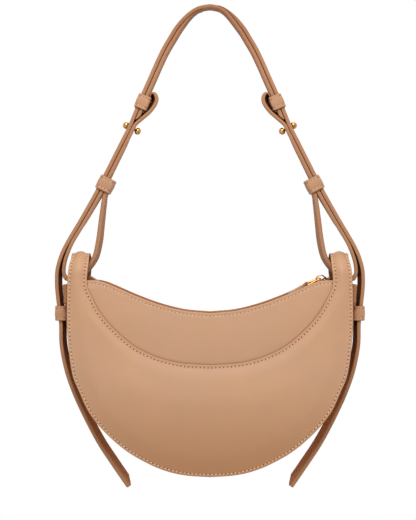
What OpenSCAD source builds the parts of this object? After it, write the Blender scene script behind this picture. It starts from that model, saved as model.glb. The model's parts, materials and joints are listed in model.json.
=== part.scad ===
// Half moon shoulder bag: a crescent of leather whose two horns carry a strap made of
// stacked flat leather layers, with a curved zip between two yokes.
// Millimetres, +Z up, the front faces -Y. The origin is under the middle of the handle,
// where a hook or a shoulder carries the bag.

/* [Bag body] */
// Width across the front panel
panel_w = 236; // [200:1:280]
// Height from the lowest point of the panel to the top of the horns
panel_h = 185; // [160:1:215]
// Depth of the bag at the bottom
body_d = 60; // [50:1:75]
// Depth of the bag over the horns
horn_d = 39.6; // [34:0.2:46]
// Thickness of the outer leather
panel_t = 1.8; // [1.4:0.1:2.4]
// Thickness of the yoke leather
yoke_t = 1.4; // [1:0.1:2]
// Thickness of the lining
lining_t = 0.6; // [0.4:0.1:1]
// Thickness of the gusset leather
gusset_t = 1.8; // [1.4:0.1:2.4]
// Thickness of the stiffener in the bottom
board_t = 1.2; // [0.8:0.1:2]
// Overlap of the crescent on the yoke at their seam
seam_w = 7; // [5:0.5:9]
// How far the padding lifts the leather beside a seam
puff_h = 1.7; // [1:0.1:2.5]
// How far the full panels swell out beyond that
swell_h = 3.5; // [2:0.1:5]
// How far the gusset lies inside the edge of the panels
gusset_inset = 1.6; // [1:0.1:2.5]

/* [Zip] */
// Radius of the arc that the zip is sewn along
zip_r = 187; // [170:1:210]
// Width of one tooth row with its cord
teeth_w = 3.2; // [2.6:0.1:4]
// Gap between the two tooth rows, which the slider's neck runs in
teeth_gap = 1.1; // [1:0.1:1.4]
// Spacing of the teeth
teeth_pitch = 2.4; // [2:0.1:3]
// Height of a tooth
teeth_h = 2.6; // [2:0.1:3]
// Thickness of the zip tape
tape_t = 0.7; // [0.5:0.1:1]
// Width of the leather tabs on the zip's ends
end_tab_w = 14; // [10:0.5:15]
// Length of the slider
slider_l = 10; // [8:0.5:12]
// Width of the slider
slider_w = 9.4; // [8:0.2:11]
// Distance of the slider from the horn's inner edge when the bag is closed
zip_end_l = 7.3; // [7:0.1:15]
// Length that the slider travels along the zip from closed to open
zip_travel_l = 165; // [120:0.5:168]
// Thickness of the slider's plates
plate_t = 1.2; // [1:0.1:1.6]
// Width of the slider's bridge
bridge_w = 2.4; // [2:0.1:3]
// Free height over the link in the slider's bridge
bridge_room = 0.9; // [0.3:0.1:1.5]
// How far the tape lies below the lowest point of the yokes' edges
zip_sink = 0.5; // [0:0.1:1]
// Wire diameter of the pull link
link_wire = 1.5; // [1.2:0.1:1.8]
// Length of the pull link between its wire centres
link_l = 12.5; // [10:0.5:15]
// Width of the pull link between its wire centres
link_w = 6.6; // [6:0.2:8]
// Length of the leather pull beyond the link
pull_l = 17; // [14:1:20]
// Width of the leather pull
pull_w = 8; // [6:0.5:10]
// Thickness of the leather that the pull is folded from
pull_t = 1.1; // [0.8:0.1:1.4]

/* [Straps] */
// Height of the handle above the horns
handle_rise = 207; // [175:1:240]
// Width of every strap, front to back
strap_w = 14; // [11:0.5:17]
// Thickness of every strap
strap_t = 3.2; // [2.6:0.1:3.6]
// Thickness of the keepers' leather
keeper_t = 1.3; // [1:0.1:1.6]
// Length of the two keepers that bundle the straps
keeper_l = 12; // [10:0.5:14]
// Height of the keeper on the bag's side
side_keeper_h = 12.3; // [10:0.5:15]
// Thickness of the leather tab on the bag's side
side_tab_t = 1.5; // [1:0.1:2]
// Diameter of the stud's balls
ball_d = 6; // [5:0.2:7]
// Diameter of the stud's post
post_d = 2.6; // [2:0.1:3]

/* [Fits] */
// Gap between layers of leather that lie on each other
ply_gap = 0.3; // [0.2:0.05:0.5]
// Gap between plies that are sewn or glued together
glue_gap = 0.05; // [0.02:0.01:0.1]
// Play of a strap in a keeper
keeper_gap = 0.4; // [0.3:0.05:0.6]
// Play of the slider on the tape and the teeth, and of the link in the bridge
slide_gap = 0.3; // [0.25:0.05:0.5]

/* [Hidden] */

$fn = 48;
leather = [0.80, 0.63, 0.49];
edge_leather = [0.74, 0.55, 0.41];
cloth = [0.72, 0.60, 0.48];
board = [0.55, 0.50, 0.45];
gold = [0.86, 0.70, 0.38];
overrun = panel_t;
far = panel_w;
half_w = panel_w / 2;

// The lean of the front and back faces, from the bottom depth to the depth over the horns
spring_z = panel_h - horn_d / 2;
lean = atan((body_d - horn_d) / 2 / spring_z);

// Outlines of the right half, as shares of the half width and the height
outer_edge_shares = [[0, 0], [0.175, 0.008], [0.303, 0.0265], [0.43, 0.0595], [0.585, 0.117],
    [0.739, 0.203], [0.842, 0.284], [0.907, 0.371], [0.958, 0.452], [0.9905, 0.6], [0.998, 0.7],
    [0.998, 0.78], [0.996, 0.86], [0.989, 0.925], [0.976, 0.973], [0.965, 0.988]];
lip_shares = [[0.8466, 0.9784], [0.8525, 0.925], [0.858, 0.87], [0.85, 0.831], [0.832, 0.8065],
    [0.773, 0.735], [0.695, 0.671], [0.544, 0.585], [0.425, 0.543], [0.305, 0.516],
    [0.186, 0.501], [0, 0.4935]];
// The yoke's top edge: level in the horns, then down with the sag of the zip's arc
yoke_end_shares = [[0.98, 0.866], [0.83, 0.8695], [0.788, 0.868]];
yoke_sag_shares = [[0.737, 0.06], [0.661, 0.209], [0.532, 0.48], [0.364, 0.779],
    [0.186, 0.995], [0, 1.078]];
gusset_end_share = 0.85;
curve_steps = 4;
arc_step = 1.5;

// A point on the smooth curve from p1 to p2, whose slopes follow the neighbours
function spline_point(p0, p1, p2, p3, t) =
    let (before = norm(p1 - p0), here = norm(p2 - p1), after = norm(p3 - p2),
        slope1 = (p2 - p0) * here / (before + here), slope2 = (p3 - p1) * here / (here + after))
    (2 * t * t * t - 3 * t * t + 1) * p1 + (t * t * t - 2 * t * t + t) * slope1
    + (3 * t * t - 2 * t * t * t) * p2 + (t * t * t - t * t) * slope2;
function spline(p, steps) = [
    for (i = [0 : len(p) - 2], k = [0 : steps - 1])
        spline_point(p[max(i - 1, 0)], p[i], p[i + 1], p[min(i + 2, len(p) - 1)], k / steps),
    p[len(p) - 1]];
function on_panel(shares) = [for (s = shares) [s[0] * half_w, s[1] * panel_h]];
function reversed(p) = [for (i = [len(p) - 1 : -1 : 0]) p[i]];
function mirrored(p) = [for (q = p) [-q[0], q[1]]];
function tail_of(p) = [for (i = [1 : len(p) - 1]) p[i]];
function cut_above(p, z) = [for (q = p) if (q[1] <= z) q];
function tangent(p, i) = let (d = p[min(i + 1, len(p) - 1)] - p[max(i - 1, 0)]) d / norm(d);
function left_of(d) = [-d[1], d[0]];
// The path moved sideways, to the left of its direction
function shifted(p, by) = [for (i = [0 : len(p) - 1]) p[i] + by * left_of(tangent(p, i))];

outer_half = spline(on_panel(outer_edge_shares), curve_steps);
outer_edge = concat(reversed(mirrored(tail_of(outer_half))), outer_half);
lip_half = spline(on_panel(lip_shares), curve_steps);
lip_edge = concat(lip_half, tail_of(reversed(mirrored(lip_half))));
yoke_end = [for (s = yoke_end_shares) [s[0] * half_w, s[1] * panel_h]];
zip_sag = zip_r - sqrt(zip_r * zip_r - yoke_end[2][0] * yoke_end[2][0]);
yoke_top_half = spline(concat(yoke_end,
    [for (s = yoke_sag_shares) [s[0] * half_w, yoke_end[2][1] - s[1] * zip_sag]]), curve_steps);
yoke_top = concat(yoke_top_half, tail_of(reversed(mirrored(yoke_top_half))));
gusset_path = cut_above(outer_edge, panel_h * gusset_end_share);

// Depth of each layer below the outer face of the panel
yoke_at = panel_t + glue_gap;
lining_at = yoke_at + yoke_t + glue_gap;
inside_at = lining_at + lining_t;
gusset_in = gusset_inset + gusset_t;
board_in = gusset_in + glue_gap;
gusset_lining_in = board_in + board_t + glue_gap;
wall_in = gusset_lining_in + lining_t;
lean_drop = inside_at * sin(lean);

// Swell of a padded panel: flat margins along both edges, the lengths over which the padding
// lifts the leather beside them, and the reach of the full swell from each edge. It fades
// where the crescent narrows to the width swell_from_w.
swell_margin = 2.3;
swell_lip_margin = 3.2;
puff_l = 14;
lip_puff_l = 6;
swell_reach = 50;
swell_lip_reach = 32;
swell_from_w = 25;
row_shares = [[0, 0], [0.12, 0.2], [0.35, 0.4]];
low_stations = 14;
arch_angle = 15;
turn_share = 0.83;
outer_cap_share = 0.972;
lip_cap_share = 0.955;
padding_stations = 9;
board_share = 0.55;

// Places of the pocket, the arch's lining and floor, and the side keeper
pocket_w_share = 0.45;
pocket_low_share = 0.2;
pocket_high_share = 0.55;
pocket_t = 0.8;
horn_lining_low = yoke_end[0][1] + ply_gap;
horn_inner_shares = [[0.872, 0.86], [0.866, 0.99]];
horn_outer_shares = [[0.956, 0.99], [0.978, 0.86]];
floor_from_share = 0.845;
floor_edge_share = 0.995;
side_keeper_share = 0.719;
side_keeper_z = panel_h * side_keeper_share;
side_keeper_d = 8.1;
tab_face_share = 1.024;
tab_face = half_w * tab_face_share + glue_gap;
tab_low_share = 0.65;
tab_y_share = 0.6;

// Places of the zip
zip_low_z = yoke_top_half[len(yoke_top_half) - 1][1] - zip_sink;
zip_reach = lip_shares[2][0] * half_w - zip_end_l;
zip_centre_z = zip_low_z + zip_r;
degree_l = PI * zip_r / 180;
closed_angle = asin(zip_reach / zip_r);
zip_travel = zip_travel_l / degree_l;
tape_end_l = 7.1;
tape_fold_l = 2.2;
zip_end_angle = closed_angle + tape_end_l / degree_l;
fold_x = zip_r * sin(zip_end_angle) - tape_fold_l;
open_angle = zip_travel - closed_angle;
stop_l = 2.4;
tooth_half = teeth_gap / 2 + teeth_w;
tooth_l_share = 0.42;
front_phase = 0.3;
back_phase = 0.8;
teeth_to = closed_angle + slider_l / 2 / degree_l;
teeth_from = -open_angle - slider_l / 2 / degree_l;

// Heights of the slider's parts over the tape, and the lie of the link and the pull, which
// rest over the rising arc
teeth_top = teeth_h / 2 - tape_t / 2;
top_plate_z = teeth_top + slide_gap;
link_z = top_plate_z + plate_t + slide_gap + link_wire / 2;
bridge_h = link_wire + 2 * slide_gap + bridge_room + plate_t;
window_l = link_wire + 4 * slide_gap;
bridge_l = window_l + 2 * plate_t;
neck_t = teeth_gap - 2 * slide_gap;
link_bend = link_wire;
pull_fold_r = link_wire / 2 + slide_gap + pull_t;
pull_tip_share = 0.75;
function arc_rise(l) = l * l / (2 * zip_r) + yoke_t + slide_gap;
link_lie = asin((arc_rise(link_l) + pull_fold_r - link_z) / link_l);
pull_lie = asin((arc_rise(link_l + pull_l) + pull_t - link_z - link_l * sin(link_lie)) / pull_l);

// Places of the straps, from the middle of the handle down the left side
crown_top_z = panel_h + handle_rise;
layer = strap_t + ply_gap;
handle_line_shares = [[0, 0.984], [0.0807, 0.974], [0.1512, 0.946], [0.2207, 0.901],
    [0.2738, 0.851], [0.3167, 0.807], [0.3596, 0.756], [0.4066, 0.695]];
upper_keeper_shares = [[0.4536, 0.635], [0.5037, 0.5655]];
stud_share = [0.5538, 0.496];
keeper_low_share = [0.7826, 0.2375];
bundle_steps = 4;
shoulder_shares = [[0.8981, 0.1205], [0.9788, 0.0435]];
side_line_shares = [[1.0156, 1.006], [1.0432, 0.9641], [1.0641, 0.9136], [1.0682, 0.8681],
    [1.0656, 0.8252], [1.0539, 0.7577], [1.0391, 0.676]];
tail_line_shares = [[1.0355, 0.5759], [1.0064, 0.4614], [0.9573, 0.3644], [0.8879, 0.2653],
    [0.7836, 0.1406], [0.6794, 0.0415], [0.5619, -0.0606]];
loop_drop_shares = [[0.754, 0.1964], [0.7724, 0.1233], [0.7918, 0.0434]];
loop_line_shares = [[0.8163, 0.9774], [0.8552, 0.9345], [0.9048, 0.8992], [0.9611, 0.8788],
    [1.0094, 0.8824], [1.0365, 0.9069], [1.0401, 0.9308], [1.0324, 0.958], [0.9997, 1.006]];
loop_over_shares = [[0.4674, 0.5375], [0.422, 0.5605], [0.3826, 0.592], [0.3739, 0.6153],
    [0.3903, 0.635], [0.4128, 0.636], [0.422, 0.6235], [0.4368, 0.6064]];
loop_end_share = 0.9;
straight_l = 3.5;
lower_keeper_share = 0.67;
inner_from_share = 0.034;
inner_to_share = 0.22;
left_ply_from_share = 0.12;
tip_l_share = 0.05;
tip_t_share = 0.2;
tip_end_share = 1.8;
ply_start_share = 0.075;
tuck_t = 0.8;
tuck_steps = 3;
ball_sink = 1.5;
socket_l = 1.8;
swing_share = 0.886;
tail_pivot_share = 0.672;
crown_z = crown_top_z - strap_t;
swing_z = panel_h * swing_share;

function at_left(s) = [-s[0] * half_w, s[1] * panel_h];
function above_horn(s) = [-s[0] * half_w, panel_h + s[1] * handle_rise];
stud_at = above_horn(stud_share);
bundle_low = above_horn(keeper_low_share);
bundle_dir = (stud_at - bundle_low) / norm(stud_at - bundle_low);
bundle_l = norm(stud_at - bundle_low);
tip_end_z = stud_at[1] + strap_t * tip_end_share;
stud_tilt = -atan2(bundle_dir[1], bundle_dir[0]);
lower_keeper_at = bundle_low + bundle_dir * keeper_l * lower_keeper_share;
upper_at = above_horn((upper_keeper_shares[1] + upper_keeper_shares[0]) / 2);
upper_dir = let (d = above_horn(upper_keeper_shares[0]) - above_horn(upper_keeper_shares[1])) d / norm(d);
function on_bundle(k) = bundle_low + bundle_dir * bundle_l * k / bundle_steps;
bundle_points = [for (k = [bundle_steps - 1 : -1 : 1]) on_bundle(k)];
half_layer = layer / 2;

// The line between the outer and the inner layer of the strap, downwards
strap_line = spline(concat(
    [for (s = handle_line_shares) above_horn(s)],
    [for (s = upper_keeper_shares) above_horn(s)],
    [stud_at], bundle_points, [bundle_low],
    [for (s = shoulder_shares) above_horn(s)],
    [for (s = side_line_shares) at_left(s)],
    [for (s = tail_line_shares) at_left(s)]), curve_steps);
handle_line = [for (q = strap_line) if (q[1] >= swing_z - strap_w) q];
tail_top_z = panel_h * tail_pivot_share;
side_line = [for (q = strap_line) if (q[1] <= swing_z + strap_w && q[1] >= tail_top_z - strap_w) q];
tail_line = [for (q = strap_line) if (q[1] <= tail_top_z + strap_t) q];
upper_half = [for (q = handle_line) if (q[1] > tip_end_z) q];
across_line = concat(reversed(handle_line), tail_of(mirrored(upper_half)));

function ease(t) = let (c = min(max(t, 0), 1)) c * c * (3 - 2 * c);
// A band beside a path: the offsets to the left of its direction at every point
function band(p, low, high) = concat(
    [for (i = [0 : len(p) - 1]) p[i] + low[i] * left_of(tangent(p, i))],
    [for (i = [len(p) - 1 : -1 : 0]) p[i] + high[i] * left_of(tangent(p, i))]);
function even(p, v) = [for (q = p) v];

function run_of(p, i) = i == 0 ? 0 : run_of(p, i - 1) + norm(p[i] - p[i - 1]);
// Points at equal steps along a path
function paced(p, steps) = let (
        runs = [for (i = [0 : len(p) - 1]) run_of(p, i)],
        l = runs[len(p) - 1])
    [for (k = [0 : steps]) let (
            at = l * k / steps,
            i = min(len(p) - 2, max([for (j = [0 : len(p) - 1]) if (runs[j] <= at) j])))
        p[i] + (p[i + 1] - p[i]) * (at - runs[i]) / (runs[i + 1] - runs[i])];

// The sheet that a crescent's leather follows, up the leaned face and over the arch: q is the
// place across and along it, and off lies outside it
face_l = spring_z / cos(lean);
function on_sheet(q, off) = let (over = (q[1] - face_l) / (horn_d / 2) * 180 / PI)
    q[1] < face_l
        ? [q[0], -body_d / 2 + q[1] * sin(lean) - off * cos(lean), q[1] * cos(lean) + off * sin(lean)]
        : [q[0], -(horn_d / 2 + off) * cos(over), spring_z + (horn_d / 2 + off) * sin(over)];
function x_at(half, z) = lookup(z, [for (q = half) [q[1], q[0]]]);
function station_at(z, s, inner) = [
    [x_at(outer_half, min(z, panel_h * outer_cap_share)), s],
    [x_at(lip_half, min(z, panel_h * lip_cap_share)), s], inner];
// Stations of the right half, from the bottom to the horn's end: points of the outer edge and
// the lip, and the offset of the inner side
turn_z = panel_h * turn_share;
low_outer = paced(concat(cut_above(outer_half, turn_z), [[x_at(outer_half, turn_z), turn_z]]), low_stations);
low_lip = paced(concat(reversed(cut_above(lip_half, turn_z)), [[x_at(lip_half, turn_z), turn_z]]), low_stations);
face_half = concat(
    [for (k = [0 : low_stations]) [
        [low_outer[k][0], low_outer[k][1] / cos(lean)], [low_lip[k][0], low_lip[k][1] / cos(lean)], -panel_t]],
    [station_at((turn_z + spring_z) / 2, (turn_z + spring_z) / 2 / cos(lean), -panel_t)]);
arch_inner = (horn_d / 2 - panel_t) / cos(arch_angle / 2) - horn_d / 2;
arch_half = [for (a = [0 : arch_angle : 180])
    station_at(spring_z + horn_d / 2 * sin(a), face_l + horn_d / 2 * a * PI / 180, arch_inner)];
function both_halves(half) = concat(
    [for (t = reversed(tail_of(half))) [[-t[0][0], t[0][1]], [-t[1][0], t[1][1]], t[2]]], half);
// Places of the rows across a station that is w wide
function places(w, margin, lip_margin) = let (
        v = w - margin - lip_margin,
        steps = [for (s = row_shares) min(s[0] * swell_reach, s[1] * v)])
    concat([for (l = steps) margin + l], [margin + v / 2], [for (l = reversed(steps)) w - lip_margin - l]);
function swell_at(w, at) = let (
        out = max(at - swell_margin, 0),
        lip = max(w - at - swell_lip_margin, 0),
        half = (w - swell_margin - swell_lip_margin) / 2)
    puff_h * ease(out / min(puff_l, half)) * ease(lip / min(lip_puff_l, half))
    + swell_h * (1 - pow(1 - min(out / swell_reach, 1), 2)) * ease(lip / swell_lip_reach)
        * ease((w - swell_from_w) / swell_reach);
function width_of(t) = norm(t[1] - t[0]);
function across(t, at) = t[0] + (t[1] - t[0]) * at / width_of(t);

// A closed skin over the stations: rings of points, each from the outer edge to the lip and back
module skin(rings) {
    n = len(rings[0]);
    last = len(rings) - 1;
    end = last * n;
    polyhedron(points = [for (ring = rings, q = ring) q], faces = concat(
        [for (i = [0 : last - 1], j = [0 : n - 1]) [i * n + j, i * n + (j + 1) % n, i * n + n + (j + 1) % n]],
        [for (i = [0 : last - 1], j = [0 : n - 1]) [i * n + j, i * n + n + (j + 1) % n, i * n + n + j]],
        [for (j = [0 : n / 2 - 2]) [j, n - 1 - j, n - 2 - j]],
        [for (j = [0 : n / 2 - 2]) [j, n - 2 - j, j + 1]],
        [for (j = [0 : n / 2 - 2]) [end + j, end + n - 2 - j, end + n - 1 - j]],
        [for (j = [0 : n / 2 - 2]) [end + j, end + j + 1, end + n - 2 - j]]));
}
module crescent(half) skin([for (t = both_halves(half)) let (
        w = width_of(t),
        row = concat([0], places(w, swell_margin, swell_lip_margin), [w]))
    concat([for (at = row) on_sheet(across(t, at), swell_at(w, at))],
        [for (at = reversed(row)) on_sheet(across(t, at), swell_at(w, at) + t[2])])]);

module hung() translate([0, 0, -crown_z]) children();
module upright(from, to) translate([0, to, 0]) rotate([90, 0, 0]) linear_extrude(to - from) children();
module front_layer(at, t) translate([0, -body_d / 2, 0]) rotate([-lean, 0, 0]) upright(at, at + t) children();
module to_back() mirror([0, 1, 0]) children();
module to_right() mirror([1, 0, 0]) children();
module strap(points) upright(-strap_w / 2, strap_w / 2) polygon(points);
// The space between the inner faces of the front and back stacks, from a given depth
module between(at) intersection() {
    front_layer(at, body_d) square(2 * far, center = true);
    to_back() front_layer(at, body_d) square(2 * far, center = true);
}
module above(z) translate([-far, -far, z]) cube(2 * far);
module below(z) translate([-far, -far, z - 2 * far]) cube(2 * far);
// A half round arch over a horn, between two radii
module arch(outer_r, inner_r) translate([0, 0, spring_z]) rotate([0, 90, 0]) difference() {
    cylinder(h = panel_w, r = outer_r, center = true, $fn = 96);
    cylinder(h = panel_w + overrun, r = inner_r, center = true, $fn = 96);
}

// Front crescent: its horns run up, over the top and down to the back seam
module front_panel() color(leather) hung() crescent(concat(face_half, arch_half));
// Back crescent, sewn to the ends of the horns
back_end_s = face_l - ply_gap;
module back_panel() color(leather) hung() to_back()
    crescent(concat(face_half, [station_at(spring_z, back_end_s, -panel_t)]));
// Foam behind a crescent, below the seam with the yoke, which fills its swell
padding_half = [for (k = [0 : padding_stations]) face_half[k]];
module padding() skin([for (t = both_halves(padding_half)) let (
        w = width_of(t),
        all = places(w, swell_margin, swell_lip_margin),
        row = [for (i = [1 : len(all) - 2]) all[i]])
    concat([for (at = row) on_sheet(across(t, at), swell_at(w, at) - panel_t - ply_gap)],
        [for (at = reversed(row)) on_sheet(across(t, at), -yoke_at - yoke_t)])]);
module front_padding() color(board) hung() padding();
module back_padding() color(board) hung() to_back() padding();
// Yoke between the crescent's curved edge and the zip
module yoke() front_layer(yoke_at, yoke_t) intersection() {
    polygon(shifted(lip_edge, seam_w));
    polygon(concat(yoke_top, [[-half_w, 0], [half_w, 0]]));
    polygon(shifted(outer_edge, gusset_in + glue_gap));
}
module front_yoke() color(leather) hung() yoke();
module back_yoke() color(leather) hung() to_back() yoke();
// Strip round the sides and the bottom
module gusset_ring(outer_in, inner_in, at) intersection() {
    upright(-body_d / 2, body_d / 2)
        polygon(concat(shifted(gusset_path, outer_in), reversed(shifted(gusset_path, inner_in))));
    between(at);
}
module gusset() color(edge_leather) hung() gusset_ring(gusset_inset, gusset_in, panel_t + glue_gap);
module base_board() color(board) hung() intersection() {
    gusset_ring(board_in, board_in + board_t, inside_at + glue_gap);
    cube([board_share * panel_w, body_d, panel_h], center = true);
}
module lining_outline() intersection() {
    polygon(shifted(outer_edge, gusset_in + glue_gap + lean_drop));
    polygon(concat(yoke_top, [[-half_w, 0], [half_w, 0]]));
}
module front_lining() color(cloth) hung() front_layer(lining_at, lining_t) lining_outline();
module back_lining() color(cloth) hung() to_back() front_layer(lining_at, lining_t) lining_outline();
module gusset_lining() color(cloth) hung() gusset_ring(gusset_lining_in, wall_in, inside_at + glue_gap);
// Slip pocket on the back lining
module inner_pocket() color(cloth) hung() to_back() front_layer(inside_at + glue_gap, pocket_t)
    translate([-pocket_w_share * half_w, pocket_low_share * panel_h])
        square([2 * pocket_w_share * half_w, (pocket_high_share - pocket_low_share) * panel_h]);

// Lining of the arch that the loop strap passes through
module horn_lining_side() intersection() {
    upright(-body_d / 2, body_d / 2) polygon(on_panel(concat(horn_inner_shares, horn_outer_shares)));
    above(horn_lining_low);
}
module horn_lining() {
    outer_r = horn_d / 2 - panel_t - glue_gap;
    intersection() {
        arch(outer_r, outer_r - yoke_t);
        horn_lining_side();
        above(spring_z);
    }
    for (side = [0, 1]) mirror([0, side, 0]) intersection() {
        front_layer(yoke_at, yoke_t) square(2 * far, center = true);
        horn_lining_side();
        below(spring_z + glue_gap);
    }
}
module horn_lining_right() color(leather) hung() horn_lining();
module horn_lining_left() color(leather) hung() to_right() horn_lining();
// Leather floor of the arch, from the zip's end to the gusset's end
module horn_floor() intersection() {
    top_z = panel_h * gusset_end_share - glue_gap;
    translate([floor_from_share * half_w, -far, top_z - yoke_t])
        cube([(floor_edge_share - floor_from_share) * half_w - wall_in, 2 * far, yoke_t]);
    between(inside_at + glue_gap);
}
module horn_floor_right() color(leather) hung() horn_floor();
module horn_floor_left() color(leather) hung() to_right() horn_floor();

// A plate that follows the zip's arc: radii, angles from the lowest point, and y range
module arc_plate(low_r, high_r, from, to, y0, y1) {
    steps = ceil((to - from) / arc_step);
    points = [for (i = [0 : steps]) let (a = from + (to - from) * i / steps) [sin(a), -cos(a)]];
    translate([0, 0, zip_centre_z]) upright(y0, y1)
        polygon(concat([for (q = points) q * low_r], [for (q = reversed(points)) q * high_r]));
}
// Half of the tape, folded narrow at both ends
module zip_tape() difference() {
    intersection() {
        arc_plate(zip_r, zip_r + tape_t, -zip_end_angle, zip_end_angle, -body_d, -tooth_half);
        between(inside_at + glue_gap);
    }
    for (side = [0, 1]) mirror([side, 0, 0]) translate([fold_x, -far - end_tab_w / 2, 0]) cube(far);
}
module zip_tape_front() color(cloth) hung() zip_tape();
module zip_tape_back() color(cloth) hung() to_back() zip_tape();
module zip_teeth(phase) {
    pitch_angle = teeth_pitch / degree_l;
    count = floor((teeth_to - teeth_from) / pitch_angle) - 1;
    for (i = [0 : count])
        translate([0, 0, zip_centre_z]) rotate([0, -(teeth_from + (i + phase) * pitch_angle), 0])
            translate([-teeth_pitch * tooth_l_share / 2, -tooth_half, -zip_r - tape_t / 2 - teeth_h / 2])
                cube([teeth_pitch * tooth_l_share, teeth_w, teeth_h]);
}
module zip_teeth_front() color(gold) hung() zip_teeth(front_phase);
module zip_teeth_back() color(gold) hung() to_back() zip_teeth(back_phase);
// Metal stops clamped at both ends of the teeth
module zip_end_stops() color(gold) hung()
    for (a = [teeth_from - (stop_l / 2 + ply_gap) / degree_l, teeth_to + (stop_l / 2 + ply_gap) / degree_l])
        translate([0, 0, zip_centre_z]) rotate([0, -a, 0])
            translate([-stop_l / 2, -tooth_half, -zip_r - tape_t / 2 - teeth_h / 2])
                cube([stop_l, 2 * tooth_half, teeth_h]);
// Leather tabs folded over the ends of the tapes
module end_tab(from, to) intersection() {
    difference() {
        arc_plate(zip_r - yoke_t, zip_r + tape_t + yoke_t, from, to, -end_tab_w / 2, end_tab_w / 2);
        arc_plate(zip_r - glue_gap, zip_r + tape_t + glue_gap,
            -zip_end_angle - glue_gap, zip_end_angle + glue_gap, -body_d, body_d);
    }
    between(inside_at + glue_gap + ply_gap);
}
module zip_end_tab_right() color(leather) hung()
    end_tab(teeth_to + (stop_l + 2 * ply_gap) / degree_l, zip_end_angle + yoke_t / degree_l);
module zip_end_tab_left() color(leather) hung()
    end_tab(-zip_end_angle - yoke_t / degree_l, teeth_from - (stop_l + 2 * ply_gap) / degree_l);

// Local frame of the slider: x along the zip towards its closed end, z up
module on_zip() translate([0, 0, zip_centre_z]) rotate([0, -closed_angle, 0])
    translate([0, 0, -zip_r]) children();
module slider_plate(z) translate([-slider_l / 2, -slider_w / 2, z]) cube([slider_l, slider_w, plate_t]);
module zip_slider() color(gold) hung() on_zip() {
    low_z = -tape_t - teeth_h / 2 + tape_t / 2 - slide_gap - plate_t;
    slider_plate(top_plate_z);
    slider_plate(low_z);
    translate([slider_l / 2 - plate_t * 2, -neck_t / 2, low_z])
        cube([plate_t * 2, neck_t, top_plate_z - low_z + plate_t / 2]);
    difference() {
        upright(-bridge_w / 2, bridge_w / 2) polygon([
            [-bridge_l / 2 - plate_t, top_plate_z + plate_t / 2],
            [bridge_l / 2 + plate_t, top_plate_z + plate_t / 2],
            [bridge_l / 2, top_plate_z + plate_t + bridge_h],
            [-bridge_l / 2, top_plate_z + plate_t + bridge_h]]);
        translate([-window_l / 2, -bridge_w, top_plate_z + plate_t])
            cube([window_l, 2 * bridge_w, bridge_h - plate_t]);
    }
}
// Long wire link with bent corners: one end in the bridge, the other in the leather pull
module wire(l) rotate([0, 90, 0]) cylinder(h = l, d = link_wire, center = true, $fn = 20);
module pull_link() color(gold) hung() on_zip() translate([0, 0, link_z]) rotate([0, link_lie, 0])
    translate([-link_l / 2, 0, 0]) {
        for (turn = [0, 1]) rotate([0, 0, turn * 180]) {
            translate([0, link_w / 2, 0]) wire(link_l - 2 * link_bend);
            translate([link_l / 2, 0, 0]) rotate([0, 0, 90]) wire(link_w - 2 * link_bend);
            for (side = [0, 1]) mirror([0, side, 0])
                translate([link_l / 2 - link_bend, link_w / 2 - link_bend, 0])
                    rotate_extrude(angle = 90) translate([link_bend, 0]) circle(d = link_wire, $fn = 20);
        }
    }
// Leather pull folded round the link's far end
module pull_tab() color(leather) hung() on_zip() translate([0, 0, link_z]) rotate([0, link_lie, 0])
    translate([-link_l, 0, 0]) rotate([0, pull_lie - link_lie, 0]) {
        fold_w = link_w - 2 * link_bend - slide_gap;
        difference() {
            upright(-fold_w / 2, fold_w / 2) {
                circle(r = pull_fold_r);
                polygon([[0, -pull_fold_r], [0, pull_fold_r],
                    [-pull_fold_r * 2, pull_t], [-pull_fold_r * 2, -pull_t]]);
            }
            upright(-fold_w, fold_w) circle(r = pull_fold_r - pull_t);
        }
        upright(-pull_w / 2, pull_w / 2) polygon([[-pull_fold_r * 2, -pull_t], [-pull_fold_r * 2, pull_t],
            [-pull_l, pull_t * pull_tip_share], [-pull_l, -pull_t * pull_tip_share]]);
    }

// Straps. On the line down the left side, the inner layer lies to the left of its direction.
// Offset of the crown strap: outer layer on the left, inner layer on the right
function crown_offset(x) = half_layer
    * (1 - 2 * ease((x / half_w - inner_from_share) / (inner_to_share - inner_from_share)));
function pared(t) = strap_t * (tip_t_share + (1 - tip_t_share) * ease(t));
// Thickness of a layer that ends above the stud
function tip_t(z) = pared((z - tip_end_z) / (tip_l_share * handle_rise));
module stud_hole() on_stud() cylinder(h = 4 * layer, d = post_d + slide_gap, center = true);
// Round end of the strap at the height where the bag swings on it
module swing_round(r) translate([-far, 0, swing_z]) rotate([0, 90, 0]) cylinder(h = far, r = r);
module above_swing() {
    above(swing_z);
    swing_round(strap_w / 2);
}

module long_strap_left() color(edge_leather) hung() difference() {
    intersection() {
        strap(band(across_line,
            [for (q = across_line) crown_offset(q[0]) + strap_t / 2 - (q[0] > 0 ? tip_t(q[1]) : strap_t)],
            [for (q = across_line) crown_offset(q[0]) + strap_t / 2]));
        above_swing();
    }
    stud_hole();
}
// The outer layer on the right starts where the crown strap leaves room for its pared end
function room_over_crown(x) = half_layer - ply_gap - crown_offset(x);
right_line = mirrored([for (q = handle_line) if (room_over_crown(-q[0]) > strap_t * tip_t_share) q]);
module long_strap_right() color(edge_leather) hung() difference() {
    intersection() {
        strap(band(right_line,
            even(right_line, half_layer + strap_t / 2),
            [for (q = right_line) crown_offset(q[0]) + strap_t / 2 + ply_gap]));
        to_right() above_swing();
    }
    to_right() stud_hole();
}
ply_line = [for (q = upper_half) if (q[0] < -left_ply_from_share * half_w) q];
module handle_ply_left() color(edge_leather) hung()
    strap(band(ply_line,
        even(ply_line, ply_gap / 2),
        [for (q = ply_line) ply_gap / 2 + min(tip_t(q[1]),
            pared((-q[0] / half_w - left_ply_from_share) / ply_start_share))]));

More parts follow.
